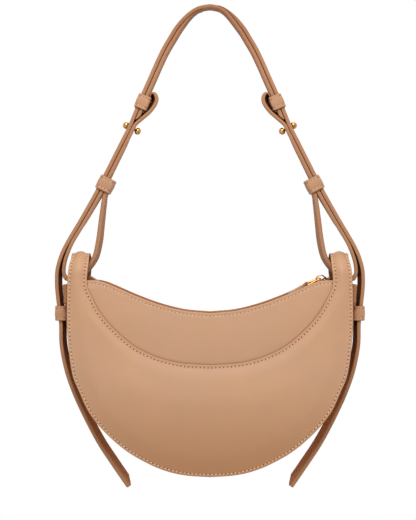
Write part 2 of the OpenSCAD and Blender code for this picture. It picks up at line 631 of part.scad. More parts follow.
shoulder_i = curve_steps * (len(handle_line_shares) + len(upper_keeper_shares) + bundle_steps + 1);
loop_line = spline(concat(
    [for (l = [loop_end_share * keeper_l, 0])
        bundle_low + bundle_dir * l - 3 * half_layer * left_of(bundle_dir)],
    [for (s = loop_drop_shares) above_horn(s)],
    [for (s = loop_line_shares) at_left(s)],
    [for (i = [shoulder_i + curve_steps : -curve_steps / 2 : shoulder_i])
        strap_line[i] + half_layer * left_of(tangent(strap_line, i))],
    [for (k = [0 : bundle_steps]) on_bundle(k) - half_layer * left_of(bundle_dir)],
    [stud_at + bundle_dir * straight_l - half_layer * left_of(bundle_dir)],
    [for (s = loop_over_shares) above_horn(s)]), curve_steps);
// Thickness of the loop strap, pared down where its end is tucked into the upper keeper
function loop_t(i) = let (left = (len(loop_line) - 1 - i) / curve_steps)
    tuck_t + (strap_t - tuck_t) * ease((left - 1) / tuck_steps);
module loop_strap() difference() {
    strap(band(loop_line,
        [for (i = [0 : len(loop_line) - 1]) -loop_t(i) / 2],
        [for (i = [0 : len(loop_line) - 1]) loop_t(i) / 2]));
    stud_hole();
}
module loop_strap_left() color(edge_leather) hung() loop_strap();
module loop_strap_right() color(edge_leather) hung() to_right() loop_strap();

module outer_strap(line)
    strap(band(line, even(line, -half_layer - strap_t / 2), even(line, -half_layer + strap_t / 2)));
module side_strap() difference() {
    intersection() {
        outer_strap(side_line);
        below(swing_z);
    }
    swing_round(strap_w / 2 + ply_gap);
    below(tail_pivot[1]);
    tail_round(strap_t / 2 + ply_gap);
}
module side_strap_left() color(edge_leather) hung() side_strap();
module side_strap_right() color(edge_leather) hung() to_right() side_strap();
// Round end of the free tail, at the lower edge of the side keeper
tail_pivot_i = [for (i = [0 : len(strap_line) - 1]) if (strap_line[i][1] <= tail_top_z) i][0];
tail_pivot = strap_line[tail_pivot_i] - half_layer * left_of(tangent(strap_line, tail_pivot_i));
module tail_round(r) translate([tail_pivot[0], strap_w, tail_pivot[1]]) rotate([90, 0, 0])
    cylinder(h = 2 * strap_w, r = r);
module strap_tail() intersection() {
    outer_strap(tail_line);
    union() {
        below(tail_pivot[1]);
        tail_round(strap_t / 2);
    }
}
module strap_tail_left() color(edge_leather) hung() strap_tail();
module strap_tail_right() color(edge_leather) hung() to_right() strap_tail();

// A leather loop round a stack of straps: inner size across and front to back
module keeper(inner_across, inner_y) difference() {
    cube([inner_across + 2 * keeper_t, inner_y + 2 * keeper_t, keeper_l], center = true);
    cube([inner_across, inner_y, keeper_l + overrun], center = true);
}
module along(dir, at, shift) translate([at[0], 0, at[1]]) rotate([0, 90 - atan2(dir[1], dir[0]), 0])
    translate([shift, 0, 0]) children();
module upper_keeper() {
    across = 2 * layer + tuck_t + 2 * keeper_gap;
    along(upper_dir, upper_at, (tuck_t + ply_gap) / 2) keeper(across, strap_w + 2 * keeper_gap);
}
module upper_keeper_left() color(leather) hung() upper_keeper();
module upper_keeper_right() color(leather) hung() to_right() upper_keeper();
module lower_keeper() {
    across = 3 * layer - ply_gap + 2 * keeper_gap;
    along(bundle_dir, lower_keeper_at, half_layer) keeper(across, strap_w + 2 * keeper_gap);
}
module lower_keeper_left() color(leather) hung() lower_keeper();
module lower_keeper_right() color(leather) hung() to_right() lower_keeper();
// Keeper sewn on the tab at the bag's side
module side_keeper() translate([-tab_face - side_keeper_d / 2, 0, side_keeper_z]) difference() {
    cube([side_keeper_d, strap_w + 2 * (keeper_gap + keeper_t), side_keeper_h], center = true);
    cube([side_keeper_d - 2 * keeper_t, strap_w + 2 * keeper_gap, side_keeper_h + overrun], center = true);
}
module side_keeper_left() color(leather) hung() side_keeper();
module side_keeper_right() color(leather) hung() to_right() side_keeper();
// Leather tab on the outer face of the gusset's end
module side_tab() upright(-body_d / 2 * tab_y_share, body_d / 2 * tab_y_share) difference() {
    polygon([
        [-tab_face + glue_gap, panel_h * tab_low_share],
        [-tab_face + glue_gap, side_keeper_z + side_keeper_h / 2],
        [-tab_face - side_tab_t, panel_h * gusset_end_share],
        [-half_w + gusset_in, panel_h * gusset_end_share],
        [-half_w + gusset_in, panel_h * tab_low_share]]);
    polygon(shifted(outer_edge, gusset_inset - glue_gap));
}
module side_tab_left() color(leather) hung() side_tab();
module side_tab_right() color(leather) hung() to_right() side_tab();

// Ball-headed stud through the outer strap and the loop strap
module on_stud() translate([stud_at[0], 0, stud_at[1]]) rotate([0, stud_tilt, 0]) children();
module ball_head() intersection() {
    translate([0, 0, layer + ply_gap / 2 + ball_d / 2 - ball_sink]) sphere(d = ball_d);
    translate([-ball_d, -ball_d, layer + ply_gap / 2]) cube(2 * ball_d);
}
module stud_post() on_stud() {
    ball_head();
    translate([0, 0, -layer - ply_gap - socket_l]) cylinder(h = 2 * layer + 2 * ply_gap + socket_l, d = post_d);
}
module stud_ball() on_stud() difference() {
    mirror([0, 0, 1]) ball_head();
    translate([0, 0, -layer - ply_gap - socket_l - glue_gap]) cylinder(h = 2 * layer, d = post_d + glue_gap);
}
module stud_post_left() color(gold) hung() stud_post();
module stud_post_right() color(gold) hung() to_right() stud_post();
module stud_ball_left() color(gold) hung() stud_ball();
module stud_ball_right() color(gold) hung() to_right() stud_ball();

front_panel();
back_panel();
front_padding();
back_padding();
front_yoke();
back_yoke();
gusset();
base_board();
front_lining();
back_lining();
gusset_lining();
inner_pocket();
horn_lining_left();
horn_lining_right();
horn_floor_left();
horn_floor_right();
zip_tape_front();
zip_tape_back();
zip_teeth_front();
zip_teeth_back();
zip_end_stops();
zip_end_tab_left();
zip_end_tab_right();
zip_slider();
pull_link();
pull_tab();
long_strap_left();
long_strap_right();
handle_ply_left();
loop_strap_left();
loop_strap_right();
side_strap_left();
side_strap_right();
strap_tail_left();
strap_tail_right();
upper_keeper_left();
upper_keeper_right();
lower_keeper_left();
lower_keeper_right();
side_keeper_left();
side_keeper_right();
side_tab_left();
side_tab_right();
stud_post_left();
stud_post_right();
stud_ball_left();
stud_ball_right();
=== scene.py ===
# Half moon shoulder bag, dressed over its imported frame. The scene is in metres; the sizes below
# are millimetres with z = 0 at the bottom of the bag, and to_row() brings them to the frame.
import json
import math
import bpy
import bmesh
import numpy as np
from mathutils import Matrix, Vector, noise


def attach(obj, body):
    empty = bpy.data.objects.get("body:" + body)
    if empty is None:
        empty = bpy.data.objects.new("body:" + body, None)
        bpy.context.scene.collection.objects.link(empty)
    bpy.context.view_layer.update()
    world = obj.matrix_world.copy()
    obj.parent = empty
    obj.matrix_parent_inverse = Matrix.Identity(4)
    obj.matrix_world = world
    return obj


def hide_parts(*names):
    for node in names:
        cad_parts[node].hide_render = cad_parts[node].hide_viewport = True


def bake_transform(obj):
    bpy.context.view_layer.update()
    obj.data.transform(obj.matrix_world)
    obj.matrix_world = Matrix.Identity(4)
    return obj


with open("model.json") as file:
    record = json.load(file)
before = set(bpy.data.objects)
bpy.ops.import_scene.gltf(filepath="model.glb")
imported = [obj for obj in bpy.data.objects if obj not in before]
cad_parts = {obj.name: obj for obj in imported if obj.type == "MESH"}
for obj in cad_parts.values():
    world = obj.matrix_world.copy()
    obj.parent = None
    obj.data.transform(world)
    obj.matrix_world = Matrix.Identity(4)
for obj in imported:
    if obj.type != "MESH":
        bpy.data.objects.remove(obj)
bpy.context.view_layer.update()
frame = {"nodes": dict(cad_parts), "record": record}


# Camera and light: a long lens straight in front, level with the horns; a white studio with one
# large soft lamp above the front, one overhead and a weak one from the side. Sock wraps a shader
# socket, so that shader maths reads like plain sums.
CROWN_Z = 388.8
PIXEL, PHOTO_W = 0.82, 416
CAMERA_AWAY, FRONT_Y = 1150, -25
EYE_X, EYE_Z = -1.6, 177.4
SENSOR_W = 36
LIGHT_LEVEL = 0.34
LAMPS = (("key", (-0.04, -0.75, 0.55), 0.6, 8.6, (0, 0, -0.2)),
         ("overhead", (0.1, 0.2, 0.9), 0.8, 2.7, (0, 0, -0.2)),
         ("side", (1.2, -0.9, 0.0), 0.9, 1.5, (0, 0, -0.25)))
scene = bpy.context.scene
scene.view_settings.view_transform = "Standard"
camera = bpy.data.objects.new("camera", bpy.data.cameras.new("camera"))
scene.collection.objects.link(camera)
camera.location = Vector((EYE_X, FRONT_Y - CAMERA_AWAY, EYE_Z - CROWN_Z)) / 1000
camera.rotation_euler = (math.radians(90), 0, 0)
camera.data.sensor_fit = "HORIZONTAL"
camera.data.sensor_width = SENSOR_W
camera.data.lens = SENSOR_W * CAMERA_AWAY / (PHOTO_W * PIXEL)
camera.data.clip_start = 0.01
scene.camera = camera


class Sock:
    def __init__(self, tree, out):
        self.tree, self.out = tree, out

    def node(self, kind, settings=(), output=0, **inputs):
        made = self.tree.nodes.new("ShaderNode" + kind)
        for key, value in dict(settings).items():
            setattr(made, key, value)
        for key, value in inputs.items():
            by_number = key[0] == "i" and key[1:].isdigit()
            socket = made.inputs[int(key[1:])] if by_number else made.inputs[key.replace("_", " ")]
            if isinstance(value, Sock):
                self.tree.links.new(value.out, socket)
            else:
                socket.default_value = value
        return Sock(self.tree, made.outputs[output])

    def maths(self, how, a, b):
        return self.node("Math", {"operation": how}, i0=a, i1=b)

    def __add__(self, other):
        return self.maths("ADD", self, other)

    __radd__ = __add__

    def __sub__(self, other):
        return self.maths("SUBTRACT", self, other)

    def __rsub__(self, other):
        return self.maths("SUBTRACT", other, self)

    def __mul__(self, other):
        return self.maths("MULTIPLY", self, other)

    __rmul__ = __mul__

    def ranged(self, low, high, to_low=0.0, to_high=1.0):
        return self.node("MapRange", {"interpolation_type": "SMOOTHSTEP"}, Value=self,
                         From_Min=low, From_Max=high, To_Min=to_low, To_Max=to_high)

    def between(self, a, b):
        """Colour a where this socket is 0 and colour b where it is 1."""
        return self.node("Mix", {"data_type": "RGBA"}, 2, i0=self, i6=a, i7=b)

    def into(self, shader, name):
        self.tree.links.new(self.out, shader.inputs[name])


world = bpy.data.worlds.new("studio")
world.use_nodes = True
world.node_tree.nodes.clear()
scene.world = world
path = world.node_tree.nodes.new("ShaderNodeLightPath")
from_camera, glossy, transmitted = (
    Sock(world.node_tree, path.outputs[ray])
    for ray in ("Is Camera Ray", "Is Glossy Ray", "Is Transmission Ray"))
seen = from_camera + glossy + transmitted
level = seen.node("MapRange", Value=seen, To_Min=LIGHT_LEVEL, To_Max=1.0)
background = level.node("Background", Color=(1, 1, 1, 1), Strength=level)
background.into(world.node_tree.nodes.new("ShaderNodeOutputWorld"), "Surface")

for name, at, size, power, aim in LAMPS:
    lamp = bpy.data.objects.new(name, bpy.data.lights.new(name, "AREA"))
    lamp.data.shape = "DISK"
    lamp.data.size = size
    lamp.data.energy = power
    lamp.location = at
    lamp.rotation_euler = (Vector(aim) - Vector(at)).to_track_quat("-Z", "Y").to_euler()
    scene.collection.objects.link(lamp)


# Lining: tan cotton sewn in along the mouth, with a slip pocket on its back, and a cloth covered
# board glued to the bottom to keep it in shape.
WELD_GAP, FLAT_ANGLE, SHARP_ANGLE = 1e-6, 0.02, 0.6


def srgb(r, g, b):
    return tuple(((c / 255 + 0.055) / 1.055) ** 2.4 for c in (r, g, b)) + (1.0,)


def tinted(colour, r, g=None, b=None):
    factors = (r, g or r, b or r)
    return tuple(min(c * f, 1.0) for c, f in zip(colour, factors)) + (1.0,)


def new_material(name):
    made = bpy.data.materials.new(name)
    made.use_nodes = True
    tree = made.node_tree
    place = tree.nodes.new("ShaderNodeTexCoord")
    return made, tree.nodes["Principled BSDF"], Sock(tree, place.outputs["Object"])


def woven(name, colour, threads):
    made, shader, at = new_material(name)
    warp = at.node("TexWave", {"bands_direction": "X"}, Vector=at, Scale=threads, Distortion=0.6)
    weft = at.node("TexWave", {"bands_direction": "Z"}, Vector=at, Scale=threads, Distortion=0.6)
    slub = at.node("TexNoise", Vector=at, Scale=220.0, Detail=3.0)
    cloth = warp * 0.5 + weft * 0.5
    shade = cloth * 0.7 + slub * 0.3
    shade.ranged(0.2, 0.8).between(tinted(colour, 0.74), colour).into(shader, "Base Color")
    slub.ranged(0.3, 0.7, 0.78, 0.92).into(shader, "Roughness")
    at.node("Bump", Height=cloth, Strength=0.5, Distance=0.0003).into(shader, "Normal")
    return made


def placed(made, body, replaced=(), blend=None):
    scene.collection.objects.link(made)
    if blend:
        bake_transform(made)
    else:
        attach(made, body)
    if replaced:
        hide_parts(*replaced)
    return made


def dressed(node, material, bevel=0.0):
    """A copy of a solid whose shape is right, with softened edges and a material."""
    mesh = frame["nodes"][node].data.copy()
    mesh.materials.clear()
    mesh.materials.append(material)
    work = bmesh.new()
    work.from_mesh(mesh)
    bmesh.ops.remove_doubles(work, verts=work.verts, dist=WELD_GAP)
    bmesh.ops.dissolve_limit(work, angle_limit=FLAT_ANGLE, verts=work.verts, edges=work.edges)
    sharp = [e for e in work.edges
             if len(e.link_faces) == 2 and e.calc_face_angle(0) > SHARP_ANGLE]
    if bevel:
        bmesh.ops.bevel(work, geom=sharp, offset=bevel / 1000, segments=2, profile=0.6,
                        affect="EDGES", clamp_overlap=True)
    bmesh.ops.triangulate(work, faces=[f for f in work.faces if len(f.verts) > 4])
    work.to_mesh(mesh)
    work.free()
    mesh.shade_smooth()
    body = next(b for b, nodes in frame["record"]["behaviour"]["bodies"].items() if node in nodes)
    return placed(bpy.data.objects.new(node + "_skin", mesh), body, (node,))


lining_cloth = woven("lining_cloth", srgb(178, 112, 66), 620.0)
for node in ("front_lining", "back_lining", "gusset_lining", "inner_pocket"):
    dressed(node, lining_cloth, 0)
board_cloth = woven("board_cloth", srgb(150, 122, 96), 420.0)
dressed("base_board", board_cloth, 0.2)


# Leather, smooth calf with a matt finish: faint clouds of colour, fine pores, painted edges where
# the "edge" mark is 1, a dark flesh side where "inner" is 1, partly its own colour and partly
# painted shade of faces turned from the light, and painted shade in stitch channels, under lips and
# at joins, where a third mark asks for it. The heights, in metres under the crown, are where the
# bottom turns darker and warmer, partly burnish and partly painted shade, where the tails' flesh
# side turns from painted shade beside the bag to paler ends, and where the top of the crown
# darkens.
BURNISH_AND_SHADE, TAIL_SHADE_FADE, CROWN_TOP = (-0.3, -0.395), (-0.275, -0.335), (-0.055, -0.003)


def leather(name, colour, edge_colour, inner_colour=None, grain=1.0, rough=0.5, shine=0.3):
    made, shader, at = new_material(name)
    cloud = at.node("TexNoise", Vector=at, Scale=24.0, Detail=3.0, Roughness=0.55)
    blotch = at.node("TexNoise", Vector=at, Scale=58.0, Detail=2.0, Roughness=0.5, Distortion=0.4)
    fine = at.node("TexNoise", Vector=at, Scale=900.0, Detail=2.0, Roughness=0.6)
    pores = at.node("TexVoronoi", {"feature": "DISTANCE_TO_EDGE"}, Vector=at, Scale=1400.0)
    body = cloud.ranged(0.36, 0.64).between(tinted(colour, 1.03, 0.99, 0.95),
                                            tinted(colour, 0.97, 0.965, 0.97))
    body = (blotch.ranged(0.42, 0.66) * 0.55).between(body, tinted(colour, 1.02, 0.955, 0.975))
    body = (fine.ranged(0.5, 0.75) * 0.08).between(body, tinted(colour, 0.88))
    height = at.node("SeparateXYZ", {}, 2, Vector=at)
    # Darker and warmer towards the bottom: partly burnish, partly painted shade.
    body = height.ranged(*BURNISH_AND_SHADE).between(body, tinted(colour, 0.81, 0.66, 0.51))
    if inner_colour:
        # The flesh side's dark colour is partly its own and partly painted shade of faces turned
        # from the light.
        inner = at.node("Attribute", {"attribute_name": "inner"}, 2)
        flesh_and_shade = fine.ranged(0.3, 0.7).between(tinted(inner_colour, 0.82), inner_colour)
        # Painted shade on the tails' flesh side: dark in the slit beside the bag, paler towards the
        # ends.
        flesh_and_shade = height.ranged(*TAIL_SHADE_FADE).between(flesh_and_shade, tinted(inner_colour, 3.2, 4.9, 7.0))
        body = inner.ranged(0.3, 0.7).between(body, flesh_and_shade)
    edge = at.node("Attribute", {"attribute_name": "edge"}, 2)
    paint = fine.ranged(0.3, 0.7).between(tinted(edge_colour, 0.94), tinted(edge_colour, 1.04))
    body = edge.ranged(0.25, 0.8).between(body, paint)
    if inner_colour:
        top = height.ranged(*CROWN_TOP) * 0.6
        body = top.between(body, tinted(colour, 0.62, 0.52, 0.45))
    # Painted shade in stitch channels, under the lips and at joins, from its own mark.
    painted_shade = at.node("Attribute", {"attribute_name": "painted_shade"}, 2)
    body = (painted_shade * 0.8).between(body, tinted(colour, 0.36, 0.27, 0.2))
    body.into(shader, "Base Color")
    fine.ranged(0.2, 0.8, rough - 0.06, rough + 0.08).into(shader, "Roughness")
    relief = (fine * 0.5 + pores.ranged(0.0, 0.12) * 0.5) * (1 - edge)
    at.node("Bump", Height=relief, Strength=0.09 * grain, Distance=0.0003).into(shader, "Normal")
    shader.inputs["Specular IOR Level"].default_value = shine
    return made


body_leather = leather("body_leather", srgb(201, 158, 124), srgb(166, 112, 74))
inner_leather = leather("inner_leather", srgb(150, 97, 62), srgb(118, 72, 44))


def to_row(points):
    return (np.asarray(points, float) - (0, 0, CROWN_Z)) / 1000


def make_piece(name, points, faces, materials, body, replaced=(), blend=None,
               marks=None, face_material=None):
    mesh = bpy.data.meshes.new(name)
    mesh.from_pydata(to_row(points).tolist(), [], [tuple(int(i) for i in f) for f in faces])
    for material in materials:
        mesh.materials.append(material)
    if face_material is not None:
        mesh.polygons.foreach_set("material_index", np.asarray(face_material, np.int32))
    for key, values in (marks or {}).items():
        layer = mesh.attributes.new(key, "FLOAT", "POINT")
        layer.data.foreach_set("value", np.asarray(values, np.float32))
    work = bmesh.new()
    work.from_mesh(mesh)
    bmesh.ops.recalc_face_normals(work, faces=work.faces)
    work.to_mesh(mesh)
    work.free()
    mesh.shade_smooth()
    return placed(bpy.data.objects.new(name, mesh), body, replaced, blend)


def grid_faces(rows, columns, wrap_rows=False, wrap_columns=False):
    return [(i * columns + j, i * columns + (j + 1) % columns,
             (i + 1) % rows * columns + (j + 1) % columns, (i + 1) % rows * columns + j)
            for i in range(rows if wrap_rows else rows - 1)
            for j in range(columns if wrap_columns else columns - 1)]


def tube_faces(rings, around):
    """Faces of a capped tube whose rings follow each other."""
    caps = [tuple(range(around)), tuple(range(around * (rings - 1), around * rings))]
    return grid_faces(rings, around, wrap_columns=True) + caps


def shell_faces(rows, columns):
    """Faces of a capped tube whose rows run along it."""
    caps = [tuple(i * columns for i in range(rows)),
            tuple(i * columns + columns - 1 for i in range(rows))]
    return grid_faces(rows, columns, wrap_rows=True) + caps


def ease(t):
    t = np.clip(t, 0, 1)
    return t * t * (3 - 2 * t)


STEPS = 8


def spline(points, steps=STEPS):
    p = [np.array(q, float) for q in points]
    made = []
    for i in range(len(p) - 1):
        p0, p1, p2, p3 = p[max(i - 1, 0)], p[i], p[i + 1], p[min(i + 2, len(p) - 1)]
        before, here, after = (np.linalg.norm(b - a) for a, b in ((p0, p1), (p1, p2), (p2, p3)))
        m1, m2 = (p2 - p0) * here / (before + here), (p3 - p1) * here / (here + after)
        for t in np.arange(steps) / steps:
            made.append((2 * t**3 - 3 * t * t + 1) * p1 + (t**3 - 2 * t * t + t) * m1
                        + (3 * t * t - 2 * t**3) * p2 + (t**3 - t * t) * m2)
    return np.array(made + [p[-1]])


def lengths(line):
    return np.concatenate([[0], np.cumsum(np.linalg.norm(np.diff(line, axis=0), axis=1))])


def at_lengths(s, values, at):
    return np.stack([np.interp(at, s, values[:, k]) for k in range(values.shape[1])], -1)


def along(line, at):
    return at_lengths(lengths(line), line, at)


def evenly(line, count):
    return along(line, np.linspace(0, lengths(line)[-1], count))


def tangents(line):
    d = np.empty_like(line)
    d[1:-1] = line[2:] - line[:-2]
    d[0], d[-1] = line[1] - line[0], line[-1] - line[-2]
    return d / np.linalg.norm(d, axis=1, keepdims=True)


def left_of(d):
    return np.stack([-d[..., 1], d[..., 0]], -1)


# Stitches: slightly arched threads of pale yarn with a flat dark disc between each two, the
# painted shade of a needle hole. A row follows a line of points with the surface's normals; the
# rows of one piece are joined.
def speckled(name, colour, rough, metallic=0.0, scale=700.0, amount=0.1, bump=0.1):
    made, shader, at = new_material(name)
    speck = at.node("TexNoise", Vector=at, Scale=scale, Detail=3.0)
    speck.ranged(0.3, 0.7).between(tinted(colour, 1 - amount),
                                   tinted(colour, 1 + amount)).into(shader, "Base Color")
    speck.ranged(0.2, 0.8, rough * 0.8, rough * 1.2).into(shader, "Roughness")
    at.node("Bump", Height=speck, Strength=bump, Distance=0.0002).into(shader, "Normal")
    shader.inputs["Metallic"].default_value = metallic
    return made


thread = speckled("thread", srgb(230, 195, 160), 0.6, scale=3000.0, amount=0.12, bump=0.4)
# Flat discs in the needle holes' place, coloured as their painted shade.
needle_hole_shade = speckled("needle_hole_shade", srgb(112, 56, 24), 0.8)


THREAD_SIDES = 7
THREAD_ROUND = [(math.cos(a), math.sin(a))
                for a in np.arange(THREAD_SIDES) * 2 * math.pi / THREAD_SIDES]
THREAD_STATIONS = ((-0.5, 0.3, -0.5), (-0.38, 0.85, -0.12), (-0.14, 1.0, 0.0),
                   (0.14, 1.0, 0.0), (0.38, 0.85, -0.12), (0.5, 0.3, -0.5))
HOLE_L, HOLE_W = 0.5, 0.48
AIM_L, THIN = 0.3, 0.26


class Stitching:
    """Threads and needle holes of one piece. A station is a place along a thread, its thickness
    there and how far it sinks, in shares."""
    def __init__(self):
        self.points, self.faces, self.kinds = [], [], []

    def add(self, points, faces, kind):
        first = len(self.points)
        self.points += list(points)
        self.faces += [tuple(i + first for i in f) for f in faces]
        self.kinds += [kind] * len(faces)

    def row(self, line, normals, pitch=3.2, wide=0.46, slant=0.16, share=0.64):
        line = np.asarray(line, float)
        normals = np.broadcast_to(np.asarray(normals, float), line.shape)
        s = lengths(line)
        count = max(int(round(s[-1] / pitch)), 1)
        step = s[-1] / count
        for i in range(count):
            middle = (i + 0.5) * step
            before, c, after = along(line, [middle - AIM_L, middle, middle + AIM_L])
            n = at_lengths(s, normals, [middle])[0]
            d = (after - before) / np.linalg.norm(after - before)
            n = n - d * (n @ d)
            n = n / np.linalg.norm(n)
            side = np.cross(n, d)
            d, side = d + slant * side, side - slant * d
            points = [c + d * step * share * x + side * (wide * r * u)
                      + n * (wide * r * v + wide * h)
                      for x, r, h in THREAD_STATIONS for u, v in THREAD_ROUND]
            self.add(points, tube_faces(len(THREAD_STATIONS), THREAD_SIDES), 0)
            for end in ((-1, 1) if i == 0 else (1,)):
                hole = c + d * step * 0.5 * end
                self.add([hole + d * HOLE_L * u + side * HOLE_W * v for u, v in THREAD_ROUND],
                         [tuple(range(THREAD_SIDES))], 1)

    def finish(self, name, body):
        make_piece(name, self.points, self.faces, [thread, needle_hole_shade], body,
                   face_material=self.kinds)


# Front and back panels: crescents of leather over thin foam, sewn flat along both edges and puffed
# between them. The front one's horns run over the top and down to a seam on the back.
HALF_W, PANEL_H, BODY_D, HORN_D, PANEL_T = 118.0, 185.0, 60.0, 39.6, 1.8
OUTER = [[0, 0], [0.175, 0.008], [0.303, 0.0265], [0.43, 0.0595], [0.585, 0.117], [0.739, 0.203],
         [0.842, 0.284], [0.907, 0.371], [0.958, 0.452], [0.9905, 0.6], [0.998, 0.7], [0.998, 0.78],
         [0.996, 0.86], [0.989, 0.925], [0.976, 0.973], [0.965, 0.988]]
LIP = [[0.8466, 0.9784], [0.8525, 0.925], [0.858, 0.87], [0.85, 0.831], [0.832, 0.8065],
       [0.773, 0.735], [0.695, 0.671], [0.544, 0.585], [0.425, 0.543], [0.305, 0.516],
       [0.186, 0.501], [0, 0.4935]]
outer_half = spline(np.array(OUTER) * (HALF_W, PANEL_H))
lip_half = spline(np.array(LIP) * (HALF_W, PANEL_H))
SPRING_Z = PANEL_H - HORN_D / 2
LEAN = math.atan((BODY_D - HORN_D) / 2 / SPRING_Z)
FACE_L = SPRING_Z / math.cos(LEAN)
ARCH_R = HORN_D / 2
SHEET_L = 2 * FACE_L + math.pi * ARCH_R


def on_sheet(x, s, off, from_back=False):
    """Points and outward normals of the sheet that the leather follows: s runs up the leaned
    front, or up the back, and round the arch of the horns, and off lies outside it."""
    x, s, off = (np.asarray(v, float) + 0 * np.asarray(x, float) for v in (x, s, off))
    if from_back:
        s = SHEET_L - s
    back = s > SHEET_L / 2
    q = np.where(back, SHEET_L - s, s)
    turn = np.clip((q - FACE_L) / ARCH_R, 0, math.pi / 2)
    flat = q < FACE_L
    ny = np.where(flat, -math.cos(LEAN), -np.cos(turn))
    nz = np.where(flat, math.sin(LEAN), np.sin(turn))
    y = np.where(flat, -BODY_D / 2 + q * math.sin(LEAN), -ARCH_R * np.cos(turn))
    z = np.where(flat, q * math.cos(LEAN), SPRING_Z + ARCH_R * np.sin(turn))
    sign = np.where(back, -1, 1)
    return (np.stack([x, sign * (y + ny * off), z + nz * off], -1),
            np.stack([0 * x, sign * ny, nz], -1))


def outline_x(half, z):
    order = np.argsort(half[:, 1])
    return np.interp(z, half[order, 1], half[order, 0])


HORN_FROM, HORN_STEP, LOW_POINTS = 0.83 * PANEL_H, 1.4, 150
HORN_CAPS = 0.972 * PANEL_H, 0.955 * PANEL_H


def crescent_lines(s_end):
    """The outer edge and the lip on the sheet, from the end of one horn to that of the other."""
    s_turn = HORN_FROM / math.cos(LEAN)
    s = np.linspace(s_end, s_turn, 2 + int((s_end - s_turn) / HORN_STEP))
    z = on_sheet(0 * s, s, 0)[0][:, 2]
    horn_lip = lip_half[lip_half[:, 1] > 0.8 * PANEL_H]
    lines = []
    for half, horn, cap in zip((outer_half, lip_half[::-1]), (outer_half, horn_lip), HORN_CAPS):
        x = outline_x(horn, np.minimum(z, cap))
        low = half[half[:, 1] < HORN_FROM - 1][::-1]
        low = evenly(np.concatenate([[[x[-1], HORN_FROM]], low]), LOW_POINTS) / (1, math.cos(LEAN))
        line = np.concatenate([np.stack([x, s], -1), low[1:]])
        lines.append(np.concatenate([line * (-1, 1), line[::-1][1:]]))
    return lines


def inward(line, towards):
    n = left_of(tangents(line))
    flip = np.sign(np.sum(n * (towards - line), axis=1))
    return n * np.where(flip == 0, 1, flip)[:, None]


def distance_to(points, line):
    best = np.full(len(points), 1e9)
    for a, b in zip(line[:-1], line[1:]):
        ab = b - a
        t = np.clip(((points - a) @ ab) / max(ab @ ab, 1e-12), 0, 1)
        best = np.minimum(best, np.linalg.norm(points - (a + t[:, None] * ab), axis=1))
    return best


STITCH_IN, LIP_STITCH_IN, THREAD_SUNK = 1.9, 2.7, -0.2
SEAM_OVERLAP, TUCK_L, TUCK_GAP = 5.0, 2.6, 0.08
ARCH_SUNK, UNDER_ARCH_SUNK, LINING_SUNK = 1.8, 0.8, 0.9
FLAT_SEAM, FLAT_LIP = 2.3, 3.2
PUFF, PUFF_FROM_SEAM, PUFF_FROM_LIP, NARROW_W = 1.7, 14, 6, 30
SWELL, SWELL_FROM_SEAM, SWELL_FROM_LIP = 3.5, 50, 32
HORN_W, HORN_FLAT_END, CHANNEL, LIP_CHANNEL = 25, 5, 0.45, 0.5
WAVE, WAVE_L, WAVE_SEED, WAVE_FADE = 0.3, 38, 3.1, 12
UNDER_ROWS = [(0, -1.3), (0.12, -1.72), (0.5, -PANEL_T), (5, -PANEL_T)]
MIDDLE_ROWS = 14


def gauss(x, wide):
    return np.exp(-(x / wide) ** 2)


def waviness(at, length, seed):
    return np.array([noise.noise(Vector((p[0] / length, p[1] / length, seed))) for p in at])


def arch_share(s):
    """0 on the faces and 1 on the top of the horns' arch."""
    return ease((np.minimum(s, SHEET_L - s) - FACE_L) / ARCH_R)


def panel_height(outer_d, lip_d, from_end, at):
    """How far the leather stands over the flat sheet: the puff beside the seams, the full swell,
    the channels of the stitch rows and a little waviness."""
    width = outer_d + lip_d
    out, lip = outer_d - FLAT_SEAM, lip_d - FLAT_LIP
    half = np.maximum((width - FLAT_SEAM - FLAT_LIP) / 2, 0.5)
    puff = ease(out / np.minimum(PUFF_FROM_SEAM, half)) \
        * ease(lip / np.minimum(PUFF_FROM_LIP, half))
    puff = PUFF * puff ** (1 - 0.45 * ease((NARROW_W - width) / 10))
    crescent = ease((width - HORN_W) / 50)
    full = SWELL * (1 - (1 - np.clip(out / SWELL_FROM_SEAM, 0, 1)) ** 2) \
        * ease(lip / SWELL_FROM_LIP) * crescent
    channel = CHANNEL * gauss(outer_d - STITCH_IN, 0.5) \
        + LIP_CHANNEL * gauss(lip_d - LIP_STITCH_IN, 0.55)
    wave = WAVE * waviness(at, WAVE_L, WAVE_SEED) * crescent \
        * ease(lip_d / WAVE_FADE) * ease(outer_d / WAVE_FADE)
    return puff * ease((from_end - HORN_FLAT_END) / 9) + full + wave - channel


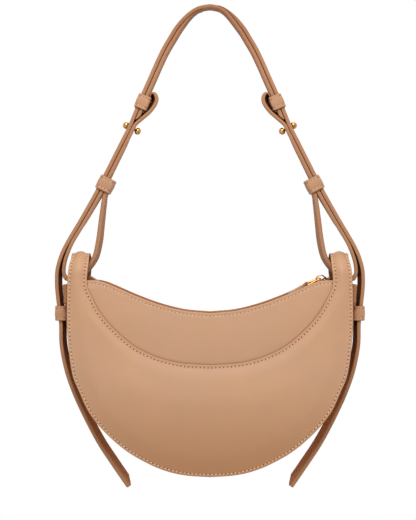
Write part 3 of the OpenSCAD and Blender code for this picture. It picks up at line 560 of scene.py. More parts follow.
def panel(name, s_end, back, replaced):
    outer, lip = crescent_lines(s_end)
    n_outer, n_lip = inward(outer, lip), inward(lip, outer)
    near = [(0.0, -0.62), (0.08, -0.26), (0.25, -0.08)] \
        + [(d, 0) for d in (0.55, 0.95, 1.3, 1.6, 1.9, 2.2, 2.5, 2.9, 3.6, 4.5)]
    far = [(d, 0) for d in (5.4, 4.5, 3.9, 3.4, 3.05, 2.7, 2.35, 2.0, 1.6, 1.1, 0.65)] \
        + [(0.3, -0.08), (0.1, -0.26), (0.0, -0.62)]
    rows = [(outer + n_outer * d, off, 1) for d, off in near]
    first, last = rows[-1][0], lip + n_lip * far[0][0]
    rows += [(first + (last - first) * k / (MIDDLE_ROWS + 1), 0, 1)
             for k in range(1, MIDDLE_ROWS + 1)]
    rows += [(lip + n_lip * d, off, 1) for d, off in far]
    edge = [1 if d < 0.2 else 0.4 if d < 0.4 else 0 for d, _ in near] + [0] * MIDDLE_ROWS \
        + [1 if d < 0.2 else 0.5 if d < 0.5 else 0 for d, _ in far]
    rows += [(lip + n_lip * d, off, 0) for d, off in UNDER_ROWS]
    rows += [((lip + outer) / 2, -PANEL_T, 0)]
    rows += [(outer + n_outer * d, off, 0) for d, off in UNDER_ROWS[::-1]]
    edge += [1] * 3 + [0] * 3 + [1] * 3
    flat = np.concatenate([r[0] for r in rows])
    outer_d, lip_d = distance_to(flat, outer), distance_to(flat, lip)
    count = len(outer)
    top_side = np.repeat([r[2] for r in rows], count)
    from_end = s_end - flat[:, 1]
    height = panel_height(outer_d, lip_d, from_end, flat) * top_side
    off = np.repeat([float(r[1]) for r in rows], count) + height
    off = off - arch_share(flat[:, 1]) * np.where(top_side, ARCH_SUNK, UNDER_ARCH_SUNK)
    if back:
        tucked = ease((flat[:, 1] - FACE_L + TUCK_L) / 2.2)
        off = off * (1 - 0.5 * tucked) - (PANEL_T + TUCK_GAP) * tucked
    points, _ = on_sheet(flat[:, 0], flat[:, 1], off, back)
    # Painted shade in the channels of the two stitch rows.
    painted_shade = 0.25 * gauss(outer_d - STITCH_IN, 0.4) + 0.25 * gauss(lip_d - LIP_STITCH_IN, 0.4)
    edges = np.repeat(edge, count).astype(float)
    if not back:
        edges = np.maximum(edges, (from_end < 0.3) * 1.0)
    skin = make_piece(name, points, shell_faces(len(rows), count), [body_leather], "bag",
                      replaced, marks={"edge": edges, "painted_shade": painted_shade * top_side})
    threads = Stitching()
    for line, n, d in ((outer, n_outer, STITCH_IN), (lip, n_lip, LIP_STITCH_IN)):
        row = line + n * d
        if back:
            row = row[row[:, 1] < FACE_L - TUCK_L]
        off = THREAD_SUNK - ARCH_SUNK * arch_share(row[:, 1])
        threads.row(*on_sheet(row[:, 0], row[:, 1], off, back))
    return threads


threads = panel("front_panel_skin", SHEET_L - FACE_L, False, ("front_panel", "front_padding"))
HORN_END_SHARES, HORN_END_ROWS = (0.874, 0.976), (1.7, 4.6)
for side in (-1, 1):
    for up in HORN_END_ROWS:
        x = np.linspace(*HORN_END_SHARES, 9) * HALF_W * side
        threads.row(*on_sheet(x, SHEET_L - FACE_L - up, 0.02))
threads.finish("front_panel_stitching", "bag")
panel("back_panel_skin", FACE_L + SEAM_OVERLAP, True,
      ("back_panel", "back_padding")).finish("back_panel_stitching", "bag")
for side in ("left", "right"):
    arch_lining = dressed("horn_lining_" + side, inner_leather, 0.3)
    for vertex in arch_lining.data.vertices:
        up = vertex.co.z * 1000 + CROWN_Z - SPRING_Z
        vertex.co.z -= LINING_SUNK / 1000 * ease(up / ARCH_R)
    dressed("horn_floor_" + side, inner_leather, 0.3)


# Yokes: the leather fields from under the crescents' lips up to the zip, a little bulged, with a
# folded, stitched top edge that follows the sag of the zip.
ZIP_R = 187.0
YOKE_END = [[0.98, 0.866], [0.83, 0.8695], [0.788, 0.868]]
YOKE_SAG = [[0.737, 0.06], [0.661, 0.209], [0.532, 0.48], [0.364, 0.779], [0.186, 0.995],
            [0, 1.078]]
YOKE_W_SHARE, YOKE_COLUMNS = 0.956, 191
YOKE_BULGE, YOKE_FULL_X, YOKE_FULL_L = 0.8, 0.86 * HALF_W, 45
UNDER_LIP, YOKE_TUCK = 2.6, 8.6
YOKE_WAVE, YOKE_WAVE_L, YOKE_WAVE_SEED = 0.25, 30, 7.7
YOKE_STITCH_IN, YOKE_THREAD = 2.9, -2.02
zip_sag = ZIP_R - math.sqrt(ZIP_R**2 - (YOKE_END[2][0] * HALF_W) ** 2)
yoke_half = spline([[x * HALF_W, z * PANEL_H] for x, z in YOKE_END]
                   + [[x * HALF_W, YOKE_END[2][1] * PANEL_H - z * zip_sag] for x, z in YOKE_SAG])


def yoke(side, back):
    x = np.linspace(-YOKE_W_SHARE, YOKE_W_SHARE, YOKE_COLUMNS) * HALF_W
    top = outline_x(yoke_half[:, ::-1], np.abs(x))
    lip_z = outline_x(lip_half[3 * STEPS:, ::-1], np.abs(x))
    lip_z = np.where(np.abs(x) < 0.83 * HALF_W, lip_z, np.minimum(lip_z, LIP[4][1] * PANEL_H))
    line = np.stack([x, top / math.cos(LEAN)], -1)
    n = -left_of(tangents(line))
    near = [(0.0, -2.6), (0.0, -2.25), (0.15, -1.98), (0.45, -1.8), (0.9, -1.7), (1.6, -1.7),
            (2.2, -1.78), (2.6, -1.95), (2.9, -2.12), (3.2, -1.95), (3.6, -1.78), (4.4, -1.68),
            (6.0, -1.6)]
    rows = [(line + n * d, off) for d, off in near]
    first, last = rows[-1][0], np.stack([x, (lip_z + UNDER_LIP) / math.cos(LEAN)], -1)
    full = YOKE_BULGE * ease((YOKE_FULL_X - np.abs(x)) / YOKE_FULL_L)
    rows += [(first + (last - first) * k / 14, near[-1][1] + full * math.sin(math.pi * k / 14))
             for k in range(1, 15)]
    by_lip = (1.7, 1.1, 0.6, 0.1, -1.2, -6)
    rows += [(last - (0, UNDER_LIP - d), -1.62 if d > 0 else -1.8) for d in by_lip]
    rows += [(last - (0, YOKE_TUCK), -3.2), (line + n * 0.9, -3.2), (line + n * 0.25, -3.05),
             (line, -2.85)]
    flat = np.concatenate([r[0] for r in rows])
    count = len(x)
    inside = np.repeat([0] * len(near) + [1] * 13 + [0] * 11, count)
    off = np.concatenate([r[1] + 0 * x for r in rows])
    off = off + YOKE_WAVE * waviness(flat, YOKE_WAVE_L, YOKE_WAVE_SEED + back) * inside
    points, _ = on_sheet(flat[:, 0], flat[:, 1], off, back)
    shade = np.outer([0.4, 0.4, 0.25] + [0] * 24 + [0.05, 0.15, 0.35, 0.5, 0.5, 0.3] + [0] * 4,
                     ease((0.84 * HALF_W - np.abs(x)) / 6)).ravel()
    edge = np.repeat([1, 0.9, 0.5] + [0] * 30 + [0.3, 0, 0.8, 1], count)
    make_piece(side + "_yoke_skin", points, shell_faces(len(rows), count), [body_leather], "bag",
               (side + "_yoke",), marks={"edge": edge, "painted_shade": shade})
    row = (line + n * YOKE_STITCH_IN)[2:-2]
    threads = Stitching()
    threads.row(*on_sheet(row[:, 0], row[:, 1], YOKE_THREAD, back))
    threads.finish(side + "_yoke_stitching", "bag")


yoke("front", False)
yoke("back", True)


# Gusset: one strip round the sides and the bottom, whose long edges meet the panels in a seam. Its
# ends are turned in and stitched across, and a tab on each carries the side keeper.
GUSSET_END, GUSSET_POINTS, GUSSET_ROWS, GUSSET_GAP = 0.85 * PANEL_H, 241, 29, 0.05
GUSSET_INSET, GUSSET_T, SEAM_LIFT = 1.6, 1.8, 1.4
SAG, SIDE_SAG, SAG_LOW_L, SAG_TOP_Z, SAG_TOP_L = 0.5, 1.3, 30, 85, 25
END_STITCH_IN, END_STITCH_HALF_W = 2.6, 16.5
gusset_half = outer_half[outer_half[:, 1] <= GUSSET_END]
gusset_half = np.concatenate([gusset_half, [[outline_x(outer_half, GUSSET_END), GUSSET_END]]])
gusset_line = evenly(np.concatenate([gusset_half[::-1] * (-1, 1), gusset_half[1:]]),
                     GUSSET_POINTS)
gusset_n = left_of(tangents(gusset_line))
half_depth = BODY_D / 2 - gusset_line[:, 1] * math.tan(LEAN) - PANEL_T - GUSSET_GAP
side_sag = ease(gusset_line[:, 1] / SAG_LOW_L) \
    * (1 - ease((gusset_line[:, 1] - SAG_TOP_Z) / SAG_TOP_L))
rows, edge = [], []
for v in np.linspace(-1, 1, GUSSET_ROWS):
    v = np.sign(v) * (1 - (1 - abs(v)) ** 1.7)
    y = v * half_depth
    rise = SEAM_LIFT * np.exp((np.abs(y) - half_depth) / 1.1)
    rows.append((y, GUSSET_INSET - rise + (SAG + SIDE_SAG * side_sag) * (1 - v * v)))
    edge.append(1 if abs(v) > 0.99 else 0)
for v in (1, 0.8, 0, -0.8, -1):
    sag = (SAG + SIDE_SAG) * side_sag * (abs(v) < 1)
    rows.append((v * half_depth, GUSSET_INSET + GUSSET_T + sag))
    edge.append(0)
points = np.concatenate([np.stack([gusset_line[:, 0] + gusset_n[:, 0] * inset, y,
                                   gusset_line[:, 1] + gusset_n[:, 1] * inset], -1)
                         for y, inset in rows])
count = len(gusset_line)
make_piece("gusset_skin", points, shell_faces(len(rows), count), [body_leather], "bag",
           ("gusset",), marks={"edge": np.repeat(edge, count).astype(float)})
threads = Stitching()
for end, at in ((0, END_STITCH_IN), (-1, lengths(gusset_line)[-1] - END_STITCH_IN)):
    n = gusset_n[end]
    x, z = along(gusset_line, [at])[0] + n * (GUSSET_INSET - GUSSET_GAP)
    line = [[x, y, z] for y in np.linspace(-END_STITCH_HALF_W, END_STITCH_HALF_W, 24)]
    threads.row(line, [-n[0], 0, -n[1]])
threads.finish("gusset_stitching", "bag")

TAB_FACE, TAB_BACK, TAB_LOW = 1.024 * HALF_W + 0.05, 116.1, 0.65 * PANEL_H
TAB_HALF_W, TAB_WIDER, TAB_STEP_Z = 8.2, 9.3, 138.0
TAB_SUNK, TAB_STEP, TAB_FLARE, TAB_STITCH_IN = 1.35, 1.3, 0.8, 2.2
TAB_CROSS_ROWS = ((3, 6.0), (-4, 15.2))
tab_z = np.concatenate([[TAB_LOW + 0.05, TAB_LOW + 0.6],
                        np.linspace(TAB_LOW + 1.5, GUSSET_END - 1, 40),
                        [GUSSET_END - 0.4, GUSSET_END - 0.05]])
tab_x = TAB_FACE - TAB_SUNK + TAB_STEP * ease((tab_z - TAB_STEP_Z - 0.5) / 4) \
    + TAB_FLARE * ease((tab_z - TAB_STEP_Z - 7) / 12)
tab_half = TAB_HALF_W * (1 - 0.5 * (1 - ease((tab_z - TAB_LOW + 4) / 8))) \
    + TAB_WIDER * ease((tab_z - TAB_STEP_Z) / 4)
tab_round = np.minimum(np.minimum(tab_z - TAB_LOW, GUSSET_END - tab_z), 0.8) / 0.8
tab_profile = [(-1, 0, 0.6), (-1, 0.8, 1), (-0.985, 0.93, 1), (-0.95, 1, 0.4), (-0.9, 1, 0),
               (-0.8, 0.97, 0), (-0.4, 0.99, 0), (0, 1, 0)]
tab_profile += [(-y, x, e) for y, x, e in tab_profile[:-1][::-1]]
for side, sign in (("left", -1), ("right", 1)):
    points = [(sign * (TAB_BACK + (x - TAB_BACK) * h - 0.4 * (1 - r) * (h > 0.5)), y * half, z)
              for x, z, half, r in zip(tab_x, tab_z, tab_half, tab_round)
              for y, h, _ in tab_profile]
    make_piece("side_tab_" + side + "_leather", points,
               tube_faces(len(tab_z), len(tab_profile)), [body_leather], "bag",
               ("side_tab_" + side,), marks={"edge": [e for _ in tab_z for _, _, e in tab_profile]})
    threads = Stitching()
    for y in (-1, 1):
        line = np.stack([sign * (tab_x - 0.1), y * (tab_half - TAB_STITCH_IN), tab_z], -1)
        threads.row(line[3:-4], [sign, 0, 0], wide=THIN)
    for i, half in TAB_CROSS_ROWS:
        line = [[sign * tab_x[i], y, tab_z[i]] for y in np.linspace(-half, half, 20)]
        threads.row(line, [sign, 0, 0])
    threads.finish("side_tab_stitching_" + side, "bag")


# Zip: woven tapes with brass teeth, stops and folded leather ends; a cast slider whose bridge
# holds a long wire link, and a folded leather pull on the link.
# The gold's strong speckle stands in for the room's dark and bright reflections: painted
# reflection.
gold = speckled("gold", srgb(192, 143, 82), 0.22, 1.0, scale=460.0, amount=0.45, bump=0.03)
brass = speckled("brass", srgb(176, 112, 60), 0.5, 0.35, scale=900.0, amount=0.12, bump=0.05)
zip_cloth = woven("zip_cloth", srgb(172, 114, 72), 900.0)
for node in ("zip_tape_front", "zip_tape_back"):
    dressed(node, zip_cloth, 0.15)
for node in ("zip_teeth_front", "zip_teeth_back", "zip_end_stops"):
    dressed(node, brass, 0.3)
for side in ("left", "right"):
    dressed("zip_end_tab_" + side, inner_leather, 0.4)

ZIP_SINK, ZIP_END_L = 0.5, 7.3
zip_low_z = yoke_half[-1, 1] - ZIP_SINK
zip_angle = math.asin((LIP[2][0] * HALF_W - ZIP_END_L) / ZIP_R)


def on_zip(points):
    """From the slider's own frame, x along the zip and z up from the tape, to the bag's."""
    x, y, z = np.asarray(points, float).T
    c, s = math.cos(zip_angle), math.sin(zip_angle)
    r = ZIP_R - z
    return np.stack([s * r + c * x, y, zip_low_z + ZIP_R - c * r + s * x], -1)


def plate(outline, low, high, round_off):
    """Rings of a plate with rounded rims, from an outline in x and y."""
    loop = np.concatenate([outline, outline[:1]])
    n = left_of(tangents(np.concatenate([loop[-2:-1], loop, loop[1:2]])))[1:-2]
    rings = []
    for inset, z in ((round_off, low), (0.3 * round_off, low + 0.3 * round_off),
                     (0, low + round_off), (0, high - round_off),
                     (0.3 * round_off, high - 0.3 * round_off), (round_off, high)):
        ring = outline + n * inset
        rings.append(np.column_stack([ring, np.full(len(ring), z)]))
    return np.concatenate(rings), tube_faces(len(rings), len(outline))


def joined(solids):
    points, faces, first = [], [], 0
    for p, f in solids:
        points.append(p)
        faces += [tuple(i + first for i in one) for one in f]
        first += len(p)
    return np.concatenate(points), faces


half_plate = spline([(5.0, 0.0), (5.0, 1.6), (4.5, 3.6), (3.0, 4.6), (0.9, 4.3), (-1.2, 3.5),
                     (-3.6, 3.4), (-4.7, 2.6), (-5.0, 1.2), (-5.0, 0)], 4)
slider_outline = np.concatenate([half_plate, half_plate[::-1][1:-1] * (1, -1)])
divider = np.array([(4.9, 0.12), (4.4, 0.25), (2.7, 0.25), (2.4, 0.0), (2.7, -0.25), (4.4, -0.25),
                    (4.9, -0.12)])
rim = np.array([(2.4, 4.55), (-1.2, 3.45), (-4.2, 3.2), (-4.2, 2.5), (-1.2, 2.8), (2.0, 3.9)])
bridge_mid = np.array([(4.2, 1.9), (4.0, 3.0), (3.3, 4.5), (2.3, 5.6), (1.1, 6.0), (0, 6.08)])
bridge_mid = spline(np.concatenate([bridge_mid, bridge_mid[::-1][1:] * (-1, 1)]), 4)
bridge_side = left_of(tangents(bridge_mid))
BRIDGE_W, BRIDGE_T, BRIDGE_SIDES, BRIDGE_POWER = 1.2, 0.55, 14, 0.55
bridge = []
for (x, z), (nx, nz) in zip(bridge_mid, bridge_side):
    for a in np.arange(BRIDGE_SIDES) * 2 * math.pi / BRIDGE_SIDES:
        across, deep = (np.sign(v) * abs(v) ** BRIDGE_POWER for v in (math.cos(a), math.sin(a)))
        bridge.append((x + nx * deep * BRIDGE_T, across * BRIDGE_W, z + nz * deep * BRIDGE_T))
slider = [plate(slider_outline[::-1], low, high, 0.4)
          for low, high in ((1.25, 2.45), (-3.15, -1.95))]
slider += [plate(divider, -2.2, 1.5, 0.05),
           (np.array(bridge), tube_faces(len(bridge_mid), BRIDGE_SIDES))]
for mirror_y in (1, -1):
    slider += [plate((rim * (1, mirror_y))[::mirror_y], low, high, 0.15)
               for low, high in ((0.35, 1.6), (-2.3, -1.05))]
points, faces = joined(slider)
make_piece("zip_slider_body", on_zip(points), faces, [gold], "slider", ("zip_slider",))
pull_leather = leather("pull_leather", srgb(178, 128, 90), srgb(140, 92, 58))
PULL_TILT, TILTED_L, TILT_AXIS = math.radians(14), 0.026, 0.003
for piece, tip in ((dressed("pull_link", gold, 0), 1.0),
                   (dressed("pull_tab", pull_leather, 0.4), 0.35)):
    for vertex in piece.data.vertices:
        x, y, z = vertex.co
        from_bridge = (on_zip([(0, 0, 0)])[0, 0] / 1000 - x) / TILTED_L
        turn = PULL_TILT * (1 + (tip - 1) * ease((from_bridge - 0.4) / 0.6)) * ease(from_bridge * 4)
        vertex.co = (x, y * math.cos(turn), z + (y + TILT_AXIS) * math.sin(turn))

PULL_T, LINK_Z, LINK_L, PULL_L = 1.1, 3.5, 12.5, 17.0
LINK_WIRE_R, PULL_GAP, TEETH_Z = 0.75, 0.3, 1.4
PULL_ROW_Y, PULL_ROW_FROM, PULL_ROW_END = 2.9, 1.0, 1.2
FOLD_R = LINK_WIRE_R + PULL_GAP + PULL_T


def zip_rise(l):
    return l * l / (2 * ZIP_R) + TEETH_Z + PULL_GAP


link_lie = math.asin((zip_rise(LINK_L) + FOLD_R - LINK_Z) / LINK_L)
link_rise = LINK_L * math.sin(link_lie)
pull_lie = math.asin((zip_rise(LINK_L + PULL_L) + PULL_T - LINK_Z - link_rise) / PULL_L)
threads = Stitching()
for face in (1, -1):
    up = on_zip([(0, 0, face), (0, 0, 0)])
    for y in (-PULL_ROW_Y, PULL_ROW_Y):
        line = []
        for l in np.linspace(2 * FOLD_R + PULL_ROW_FROM, PULL_L - PULL_ROW_END, 12):
            thick = PULL_T * (1 - 0.25 * (l - 2 * FOLD_R) / (PULL_L - 2 * FOLD_R))
            c, s = math.cos(pull_lie), math.sin(pull_lie)
            u, v = -l, face * (thick - 0.05)
            line.append((-LINK_L * math.cos(link_lie) + u * c + v * s, y,
                         LINK_Z + link_rise - u * s + v * c))
        threads.row(on_zip(line), up[0] - up[1], pitch=2.3, wide=THIN)
threads.finish("pull_tab_stitching", "pull")


# Straps: two thicknesses of leather glued flat, with rounded painted edges and a dark flesh side,
# partly painted shade, between the layers. Offsets lie to the left of each line's direction, as in
# the source.
STRAP_W, STRAP_T, PLY_GAP, HANDLE_RISE = 14.0, 3.2, 0.3, 207.0
LAYER = STRAP_T + PLY_GAP
HALF_LAYER = LAYER / 2
LOOP_TUCK_L, PAST_STUD = 10.8, 3.5
strap_leather = leather("strap_leather", srgb(188, 138, 102), srgb(184, 134, 99),
                        srgb(114, 63, 33), 0.4, 0.6, 0.1)
HANDLE = [[0, 0.978], [0.0807, 0.968], [0.1512, 0.9405], [0.2207, 0.897], [0.2738, 0.849],
          [0.3167, 0.807], [0.3596, 0.756], [0.4066, 0.695]]
UPPER_KEEPER = [[0.4536, 0.635], [0.5037, 0.5655]]
STUD, KEEPER_LOW = [0.5538, 0.496], [0.7826, 0.2375]
SHOULDER = [[0.8981, 0.1205], [0.9788, 0.0435]]
SIDE_LINE = [[1.0156, 1.006], [1.0432, 0.9641], [1.0641, 0.9136], [1.0682, 0.8681],
             [1.0656, 0.8252], [1.0539, 0.7577], [1.0391, 0.676]]
TAIL_LINE = [[1.0345, 0.5759], [0.9995, 0.4614], [0.947, 0.3644], [0.8768, 0.2653],
             [0.774, 0.1406], [0.672, 0.0415], [0.5619, -0.0606]]
LOOP_DROP = [[0.754, 0.1964], [0.7724, 0.1233], [0.7918, 0.0434]]
LOOP_LINE = [[0.8163, 0.9774], [0.8552, 0.9345], [0.9048, 0.8992], [0.9611, 0.875],
             [1.011, 0.873], [1.029, 0.893], [1.03, 0.9228], [1.02, 0.958], [0.9935, 1.006]]
LOOP_OVER = [[0.4674, 0.5375], [0.422, 0.5605], [0.3826, 0.592], [0.3739, 0.6153],
             [0.3903, 0.635], [0.4128, 0.636], [0.422, 0.6235], [0.4368, 0.6064]]


def above(shares):
    return [np.array([-x * HALF_W, PANEL_H + z * HANDLE_RISE]) for x, z in shares]


def beside(shares):
    return [np.array([-x * HALF_W, z * PANEL_H]) for x, z in shares]


stud, bundle_low = above([STUD, KEEPER_LOW])
bundle_l = np.linalg.norm(stud - bundle_low)
bundle_dir = (stud - bundle_low) / bundle_l
bundle_left = left_of(bundle_dir)
bundle = [bundle_low + bundle_dir * bundle_l * k / 4 for k in range(5)]
strap_line = spline(above(HANDLE) + above(UPPER_KEEPER) + bundle[::-1] + above(SHOULDER)
                    + beside(SIDE_LINE) + beside(TAIL_LINE), STEPS)
shoulder_i = STEPS * (len(HANDLE) + len(UPPER_KEEPER) + 5)
shoulder = [strap_line[i] + HALF_LAYER * left_of(tangents(strap_line))[i]
            for i in (shoulder_i + STEPS, shoulder_i + STEPS // 2, shoulder_i)]
loop_start = [bundle_low + bundle_dir * l - 3 * HALF_LAYER * bundle_left
              for l in (LOOP_TUCK_L, 0)]
loop_line = spline(loop_start + above(LOOP_DROP) + beside(LOOP_LINE) + shoulder
                   + [p - HALF_LAYER * bundle_left for p in bundle]
                   + [stud + bundle_dir * PAST_STUD - HALF_LAYER * bundle_left]
                   + above(LOOP_OVER), STEPS)
TIP_Z = stud[1] + 1.8 * STRAP_T
SWING_Z = 0.886 * PANEL_H
CROSS_FROM, CROSS_TO = 0.034, 0.22


def crown_offset(x):
    return HALF_LAYER * (1 - 2 * ease((x / HALF_W - CROSS_FROM) / (CROSS_TO - CROSS_FROM)))


def pared(t):
    return STRAP_T * (0.03 + 0.97 * ease(t))


def tip_t(z):
    return pared((z - TIP_Z) / (0.025 * HANDLE_RISE))


face_u = np.array([1.0, 0.96, 0.84, 0.6, 0.3, 0, -0.3, -0.6, -0.84, -0.96, -1.0])
edge_v = 1 - 0.1 * np.abs(face_u) ** 2.4
face_v = np.array([0.84, 0.7, 0.4, 0, -0.4, -0.7, -0.84])
strap_section = np.array(
    [(u, v, 1.0) for u, v in zip(face_u, edge_v)] + [(-1.0, v, 0.0) for v in face_v]
    + [(u, -v, 1.0) for u, v in zip(face_u[::-1], edge_v[::-1])]
    + [(1.0, v, 0.0) for v in face_v[::-1]])
END_R, STATION_L, CUT_L, CUT_ROUND = 0.7, 1.6, 16, 1.6
EDGE_CROWN, END_CROWN = 0.05, 0.35


def strap(nodes, line, low, high, body=None, blend=None, twist=0.0, cut=0.0, mirror=False,
          inner_side=1, fade=0.0):
    """Sweeps the strap's section along a line; low and high are its faces' offsets, twist the
    turn in degrees, and inner_side is 1 or -1 where that face shows its dark flesh side, partly
    painted shade, which fades out towards the crown within the length fade. Each is one number or
    one per point."""
    s = lengths(line)
    ends = np.array([0.0, 0.25, END_R])
    at = np.linspace(0, s[-1], max(int(s[-1] / STATION_L), 12))[1:-1]
    at = np.unique(np.concatenate([at, ends, s[-1] - ends]))
    low, high, twist, inner_side = (np.interp(at, s, np.broadcast_to(v, s.shape))
                                    for v in (low, high, twist, inner_side))
    t_line = tangents(line)
    crowned = 1 - EDGE_CROWN * strap_section[:, 1] ** 2 * (strap_section[:, 2] < 0.5)
    side_v = np.abs(strap_section[:, 1])
    points, inner = [], []
    for i, a in enumerate(at):
        blunt = 1 - min(a, s[-1] - a, END_R) / END_R
        shrink = 1 - END_CROWN * (1 - math.sqrt(max(1 - blunt**2, 0)))
        middle, half = (low[i] + high[i]) / 2, (high[i] - low[i]) / 2
        turn = math.radians(twist[i])
        u = strap_section[:, 0] * half * crowned * shrink
        v = strap_section[:, 1] * (STRAP_W / 2 - END_CROWN * (1 - shrink)) + STRAP_W / 2
        where = np.full(len(strap_section), a)
        if cut:
            near_end = np.clip(1 - (s[-1] - a) / CUT_L, 0, 1)
            slope = cut * ease((strap_section[:, 1] + 0.55) / 1.5)
            where = a - near_end * (slope + CUT_ROUND * side_v**6)
        centre = along(line, where)
        tangent = at_lengths(s, t_line, where)
        n = left_of(tangent / np.linalg.norm(tangent, axis=1, keepdims=True))
        aside = middle + u * math.cos(turn) - v * math.sin(turn)
        y = u * math.sin(turn) + v * math.cos(turn) - STRAP_W / 2
        x, z = (centre + n * aside[:, None]).T
        points.append(np.stack([x, y, z], -1))
        shown = np.clip((abs(centre[0, 0]) - 0.1 * HALF_W) / fade, 0, 1) if fade else 1
        inner.append(shown * np.clip((strap_section[:, 0] * inner_side[i] - 0.8) * 8, 0, 1))
    points = np.concatenate(points) * ((-1, 1, 1) if mirror else 1)
    inner = np.concatenate(inner)
    edge = np.tile(strap_section[:, 2], len(at)) * (1 - inner)
    make_piece(nodes[0] + "_leather", points, tube_faces(len(at), len(strap_section)),
               [strap_leather], body, nodes, blend,
               marks={"edge": edge, "inner": inner})


def row_point(x, z):
    return tuple(to_row([x, 0, z]))


SIDE_KEEPER_Z = 0.719 * PANEL_H
SIDE_TWIST, TWIST_FROM_Z, TWIST_L, TAIL_TWIST = 9.0, PANEL_H + 22, 40, 6.0
SWING_BLEND, CROWN_HALF, CROWN_FADE = 9, 0.05 * HALF_W, 14
swing = (row_point(0, SWING_Z + SWING_BLEND), row_point(0, SWING_Z - SWING_BLEND))


def side_twist(line):
    """Turn of the long strap beside the bag, where its inner side shows."""
    return SIDE_TWIST * ease((TWIST_FROM_Z - line[:, 1]) / TWIST_L)


above_keeper = strap_line[strap_line[:, 1] >= SIDE_KEEPER_Z - 1]
upper_half = strap_line[(strap_line[:, 1] > TIP_Z) & (np.arange(len(strap_line)) < shoulder_i)]
across_line = np.concatenate([above_keeper[::-1], (upper_half * (-1, 1))[1:]])
offset = crown_offset(across_line[:, 0])
thick = np.where(across_line[:, 0] > 0, tip_t(across_line[:, 1]), STRAP_T)
strap(("long_strap_left", "side_strap_left"), across_line, offset + STRAP_T / 2 - thick,
      offset + STRAP_T / 2, blend=("handle", "bag", *swing),
      twist=side_twist(across_line) * (across_line[:, 0] < 0),
      inner_side=np.where(across_line[:, 0] > CROWN_HALF, 1, -1), fade=CROWN_FADE)
right_line = above_keeper * (-1, 1)
right_line = right_line[HALF_LAYER - crown_offset(right_line[:, 0]) > 0.06]
right_gap = PLY_GAP * ease((right_line[:, 0] - 7) / 12)
strap(("long_strap_right", "side_strap_right"), right_line,
      np.minimum(crown_offset(right_line[:, 0]) + STRAP_T / 2 + right_gap, HALF_LAYER + 1.55),
      HALF_LAYER + STRAP_T / 2, blend=("handle", "bag", *swing),
      twist=side_twist(right_line), inner_side=-1, fade=CROWN_FADE)
ply_line = upper_half[upper_half[:, 0] < -CROWN_HALF]
ply_t = np.minimum(tip_t(ply_line[:, 1]), pared((-ply_line[:, 0] / HALF_W - 0.05) / 0.2))
strap(("handle_ply_left",), ply_line, PLY_GAP / 2, PLY_GAP / 2 + ply_t, "handle",
      inner_side=-1, fade=CROWN_FADE)
steps = np.arange(len(loop_line)) / STEPS
LOOP_END_T = 0.8
loop_t = LOOP_END_T + (STRAP_T - LOOP_END_T) * ease((steps[-1] - steps - 1) / 3)
loop_twist = np.interp(steps, (0, 2, 4, 6, 7.5, 9.5, 11, 13, 15, 17, 20, 22, 25, 27, 30),
                       (0, -4, -9, -7, -2, -2, -10, -13, -7, 0, -3, -12, -15, -15, -3))
tail_line = strap_line[strap_line[:, 1] <= SIDE_KEEPER_Z + 1]
TAIL_PIVOT_X, TAIL_PIVOT_Z, TAIL_BLEND, TAIL_CUT = 124.213, 120.406, (4, -5), 6.5
for side, sign in (("left", -1), ("right", 1)):
    strap(("loop_strap_" + side,), loop_line, -loop_t / 2, loop_t / 2, "handle",
          twist=loop_twist, mirror=sign > 0, inner_side=np.where(steps < 8, -1, 1))
    spread = np.linspace(0, 1, len(tail_line))
    hinge = (row_point(sign * TAIL_PIVOT_X, TAIL_PIVOT_Z + d) for d in TAIL_BLEND)
    strap(("strap_tail_" + side,), tail_line, -HALF_LAYER - STRAP_T / 2, -PLY_GAP / 2,
          blend=("bag", "tail_" + side, *hinge),
          twist=-SIDE_TWIST - TAIL_TWIST * ease(spread * 1.3), cut=TAIL_CUT, mirror=sign > 0)


# Keepers: leather sleeves with soft corners, sewn round by two rows, on the strap bundles and on
# the tabs at the bag's sides.
KEEPER_T, KEEPER_GAP, KEEPER_L, KEEPER_TURNS, KEEPER_POWER = 1.3, 0.4, 12.0, 64, 2 / 7
KEEPER_STITCH_SHARE, UPPER_KEEPER_SHIFT, LOWER_KEEPER_SHARE = 0.31, 0.55, 0.67
SIDE_KEEPER_OUT, SIDE_KEEPER_W, SIDE_KEEPER_H = 3.4, 9.4, 12.3
keeper_leather = leather("keeper_leather", srgb(193, 147, 113), srgb(166, 114, 78), rough=0.55,
                         shine=0.2)


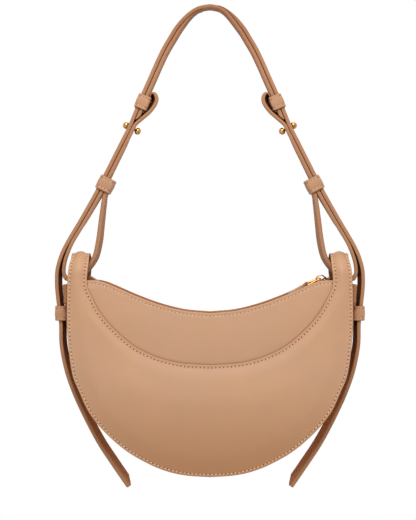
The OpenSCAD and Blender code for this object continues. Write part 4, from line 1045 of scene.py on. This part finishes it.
def sleeve(node, centre, direction, wide, tall, body, shift, flip):
    """A keeper of length tall round a bundle of straps that is wide across and lies beside its
    line by shift; flip is -1 on the right side."""
    wide, deep = wide + 2 * KEEPER_GAP, STRAP_W + 2 * KEEPER_GAP
    d = np.array([direction[0], 0, direction[1]])
    out_dir = np.array([direction[1], 0, -direction[0]])
    y_dir = np.array([0, 1.0, 0])
    centre = np.array([centre[0], 0, centre[1]]) + out_dir * shift
    t = KEEPER_T
    profile = [(-0.5, t * 0.4, 1), (-0.49, t * 0.78, 1), (-0.465, t * 0.96, 0.4),
               (-0.42, t + 0.05, 0), (-0.37, t + 0.04, 0), (-0.33, t - 0.1, 0),
               (-0.31, t - 0.18, 0), (-0.29, t - 0.1, 0), (-0.24, t + 0.08, 0),
               (-0.12, t + 0.2, 0), (0, t + 0.24, 0)]
    profile += [(-a, r, e) for a, r, e in profile[:-1][::-1]]
    profile += [(0.49, 0.08, 1), (0.45, 0, 0), (-0.45, 0, 0), (-0.49, 0.08, 1)]
    angle = (np.arange(KEEPER_TURNS) + 0.5) * 2 * math.pi / KEEPER_TURNS
    across, depth = (np.sign(v) * np.abs(v) ** KEEPER_POWER for v in (np.cos(angle), np.sin(angle)))
    loops = [centre + d * share * tall + np.outer(across * (wide / 2 + out), out_dir)
             + np.outer(depth * (deep / 2 + out), y_dir) for share, out, _ in profile]
    # The stitched rows get painted shade in their channels.
    sewn = [abs(abs(a) - KEEPER_STITCH_SHARE) < 0.01 and r > 0.5 for a, r, _ in profile]
    make_piece(node + "_leather", np.concatenate(loops) * (flip, 1, 1),
               grid_faces(len(profile), KEEPER_TURNS, wrap_rows=True, wrap_columns=True),
               [keeper_leather], body, (node,),
               marks={"edge": np.repeat([e * 0.8 for _, _, e in profile], KEEPER_TURNS),
                      "painted_shade": np.repeat(sewn, KEEPER_TURNS) * 0.3})
    threads = Stitching()
    for share in (-KEEPER_STITCH_SHARE, KEEPER_STITCH_SHARE):
        for sign in (-1, 1):
            for length, lift, run, face in ((wide / 2 - 0.8, deep / 2, out_dir, y_dir),
                                            (deep / 2 - 1.5, wide / 2, y_dir, out_dir)):
                x = np.linspace(-length, length, 13)
                line = centre + d * share * tall + np.outer(x, run) \
                    + face * sign * (lift + KEEPER_T - 0.14)
                threads.row(line * (flip, 1, 1), face * sign * (flip, 1, 1), pitch=2.7, wide=0.3)
    threads.finish(node + "_leather_stitching", body)


keeper_dir = above(UPPER_KEEPER)[0] - above(UPPER_KEEPER)[1]
keeper_dir = keeper_dir / np.linalg.norm(keeper_dir)
upper_at = (above(UPPER_KEEPER)[0] + above(UPPER_KEEPER)[1]) / 2
lower_at = bundle_low + bundle_dir * KEEPER_L * LOWER_KEEPER_SHARE
for side, flip in (("left", 1), ("right", -1)):
    sleeve("upper_keeper_" + side, upper_at, keeper_dir, 2 * LAYER + 0.8, KEEPER_L, "handle",
           UPPER_KEEPER_SHIFT, flip)
    sleeve("lower_keeper_" + side, lower_at, bundle_dir, 3 * LAYER - PLY_GAP, KEEPER_L,
           "keeper_" + side, HALF_LAYER, flip)
    sleeve("side_keeper_" + side, (-TAB_FACE - SIDE_KEEPER_OUT, SIDE_KEEPER_Z), (0, 1),
           SIDE_KEEPER_W - 2 * (KEEPER_T + KEEPER_GAP), SIDE_KEEPER_H, "bag", 0, flip)


# Studs: turned, gold plated balls on small collars at both ends of a post, which holds the loop
# strap to the long strap. A profile gives places along the post and radii.
STUD_GAP, COLLAR_L, STUD_TURNS = 0.15, 1.55, 32
BALL_R, BALL_AT, BALL_FROM, BALL_TO = 3, LAYER + STUD_GAP + COLLAR_L, -22, 88.5
COLLAR = [(3.66, 1.35), (3.66, 2.25), (3.8, 2.4), (4.05, 2.4), (4.15, 2.25), (4.2, 1.75),
          (4.45, 1.72)]
POST = [(-5.4, 1.0), (-5.4, 1.3)]


def turned(node, profile, axis, flip):
    axis = np.array([axis[0], 0, axis[1]])
    u, v = np.array([0, 1.0, 0]), np.cross(axis, [0, 1.0, 0])
    centre = np.array([stud[0], 0, stud[1]])
    points = [centre + axis * h + (u * math.cos(a) + v * math.sin(a)) * r
              for h, r in profile for a in np.arange(STUD_TURNS) * 2 * math.pi / STUD_TURNS]
    make_piece(node + "_metal", np.array(points) * (flip, 1, 1),
               tube_faces(len(profile), STUD_TURNS), [gold], "handle", (node,))


ball = COLLAR + [(BALL_AT + BALL_R * math.sin(a), BALL_R * math.cos(a))
                 for a in np.radians(np.linspace(BALL_FROM, BALL_TO, 18))]
for side, flip in (("left", 1), ("right", -1)):
    turned("stud_post_" + side, POST + ball, bundle_left, flip)
    turned("stud_ball_" + side, ball, -bundle_left, flip)


# Floor: a pale sheet below the hanging bag and out of the camera's view, which catches its shadow.
# It is not attached to any of the bag's bodies.
FLOOR_Z, FLOOR_X, FLOOR_NEAR, FLOOR_FAR = -0.535, 0.7, -0.6, 0.4
floor = bpy.data.objects.new("floor", bpy.data.meshes.new("floor"))
floor.data.from_pydata([(-FLOOR_X, FLOOR_NEAR, FLOOR_Z), (FLOOR_X, FLOOR_NEAR, FLOOR_Z),
                        (FLOOR_X, FLOOR_FAR, FLOOR_Z), (-FLOOR_X, FLOOR_FAR, FLOOR_Z)],
                       [], [(0, 1, 2, 3)])
scene.collection.objects.link(floor)
floor.data.materials.append(speckled("pale_floor", (0.86, 0.86, 0.86, 1), 0.9, amount=0.01))
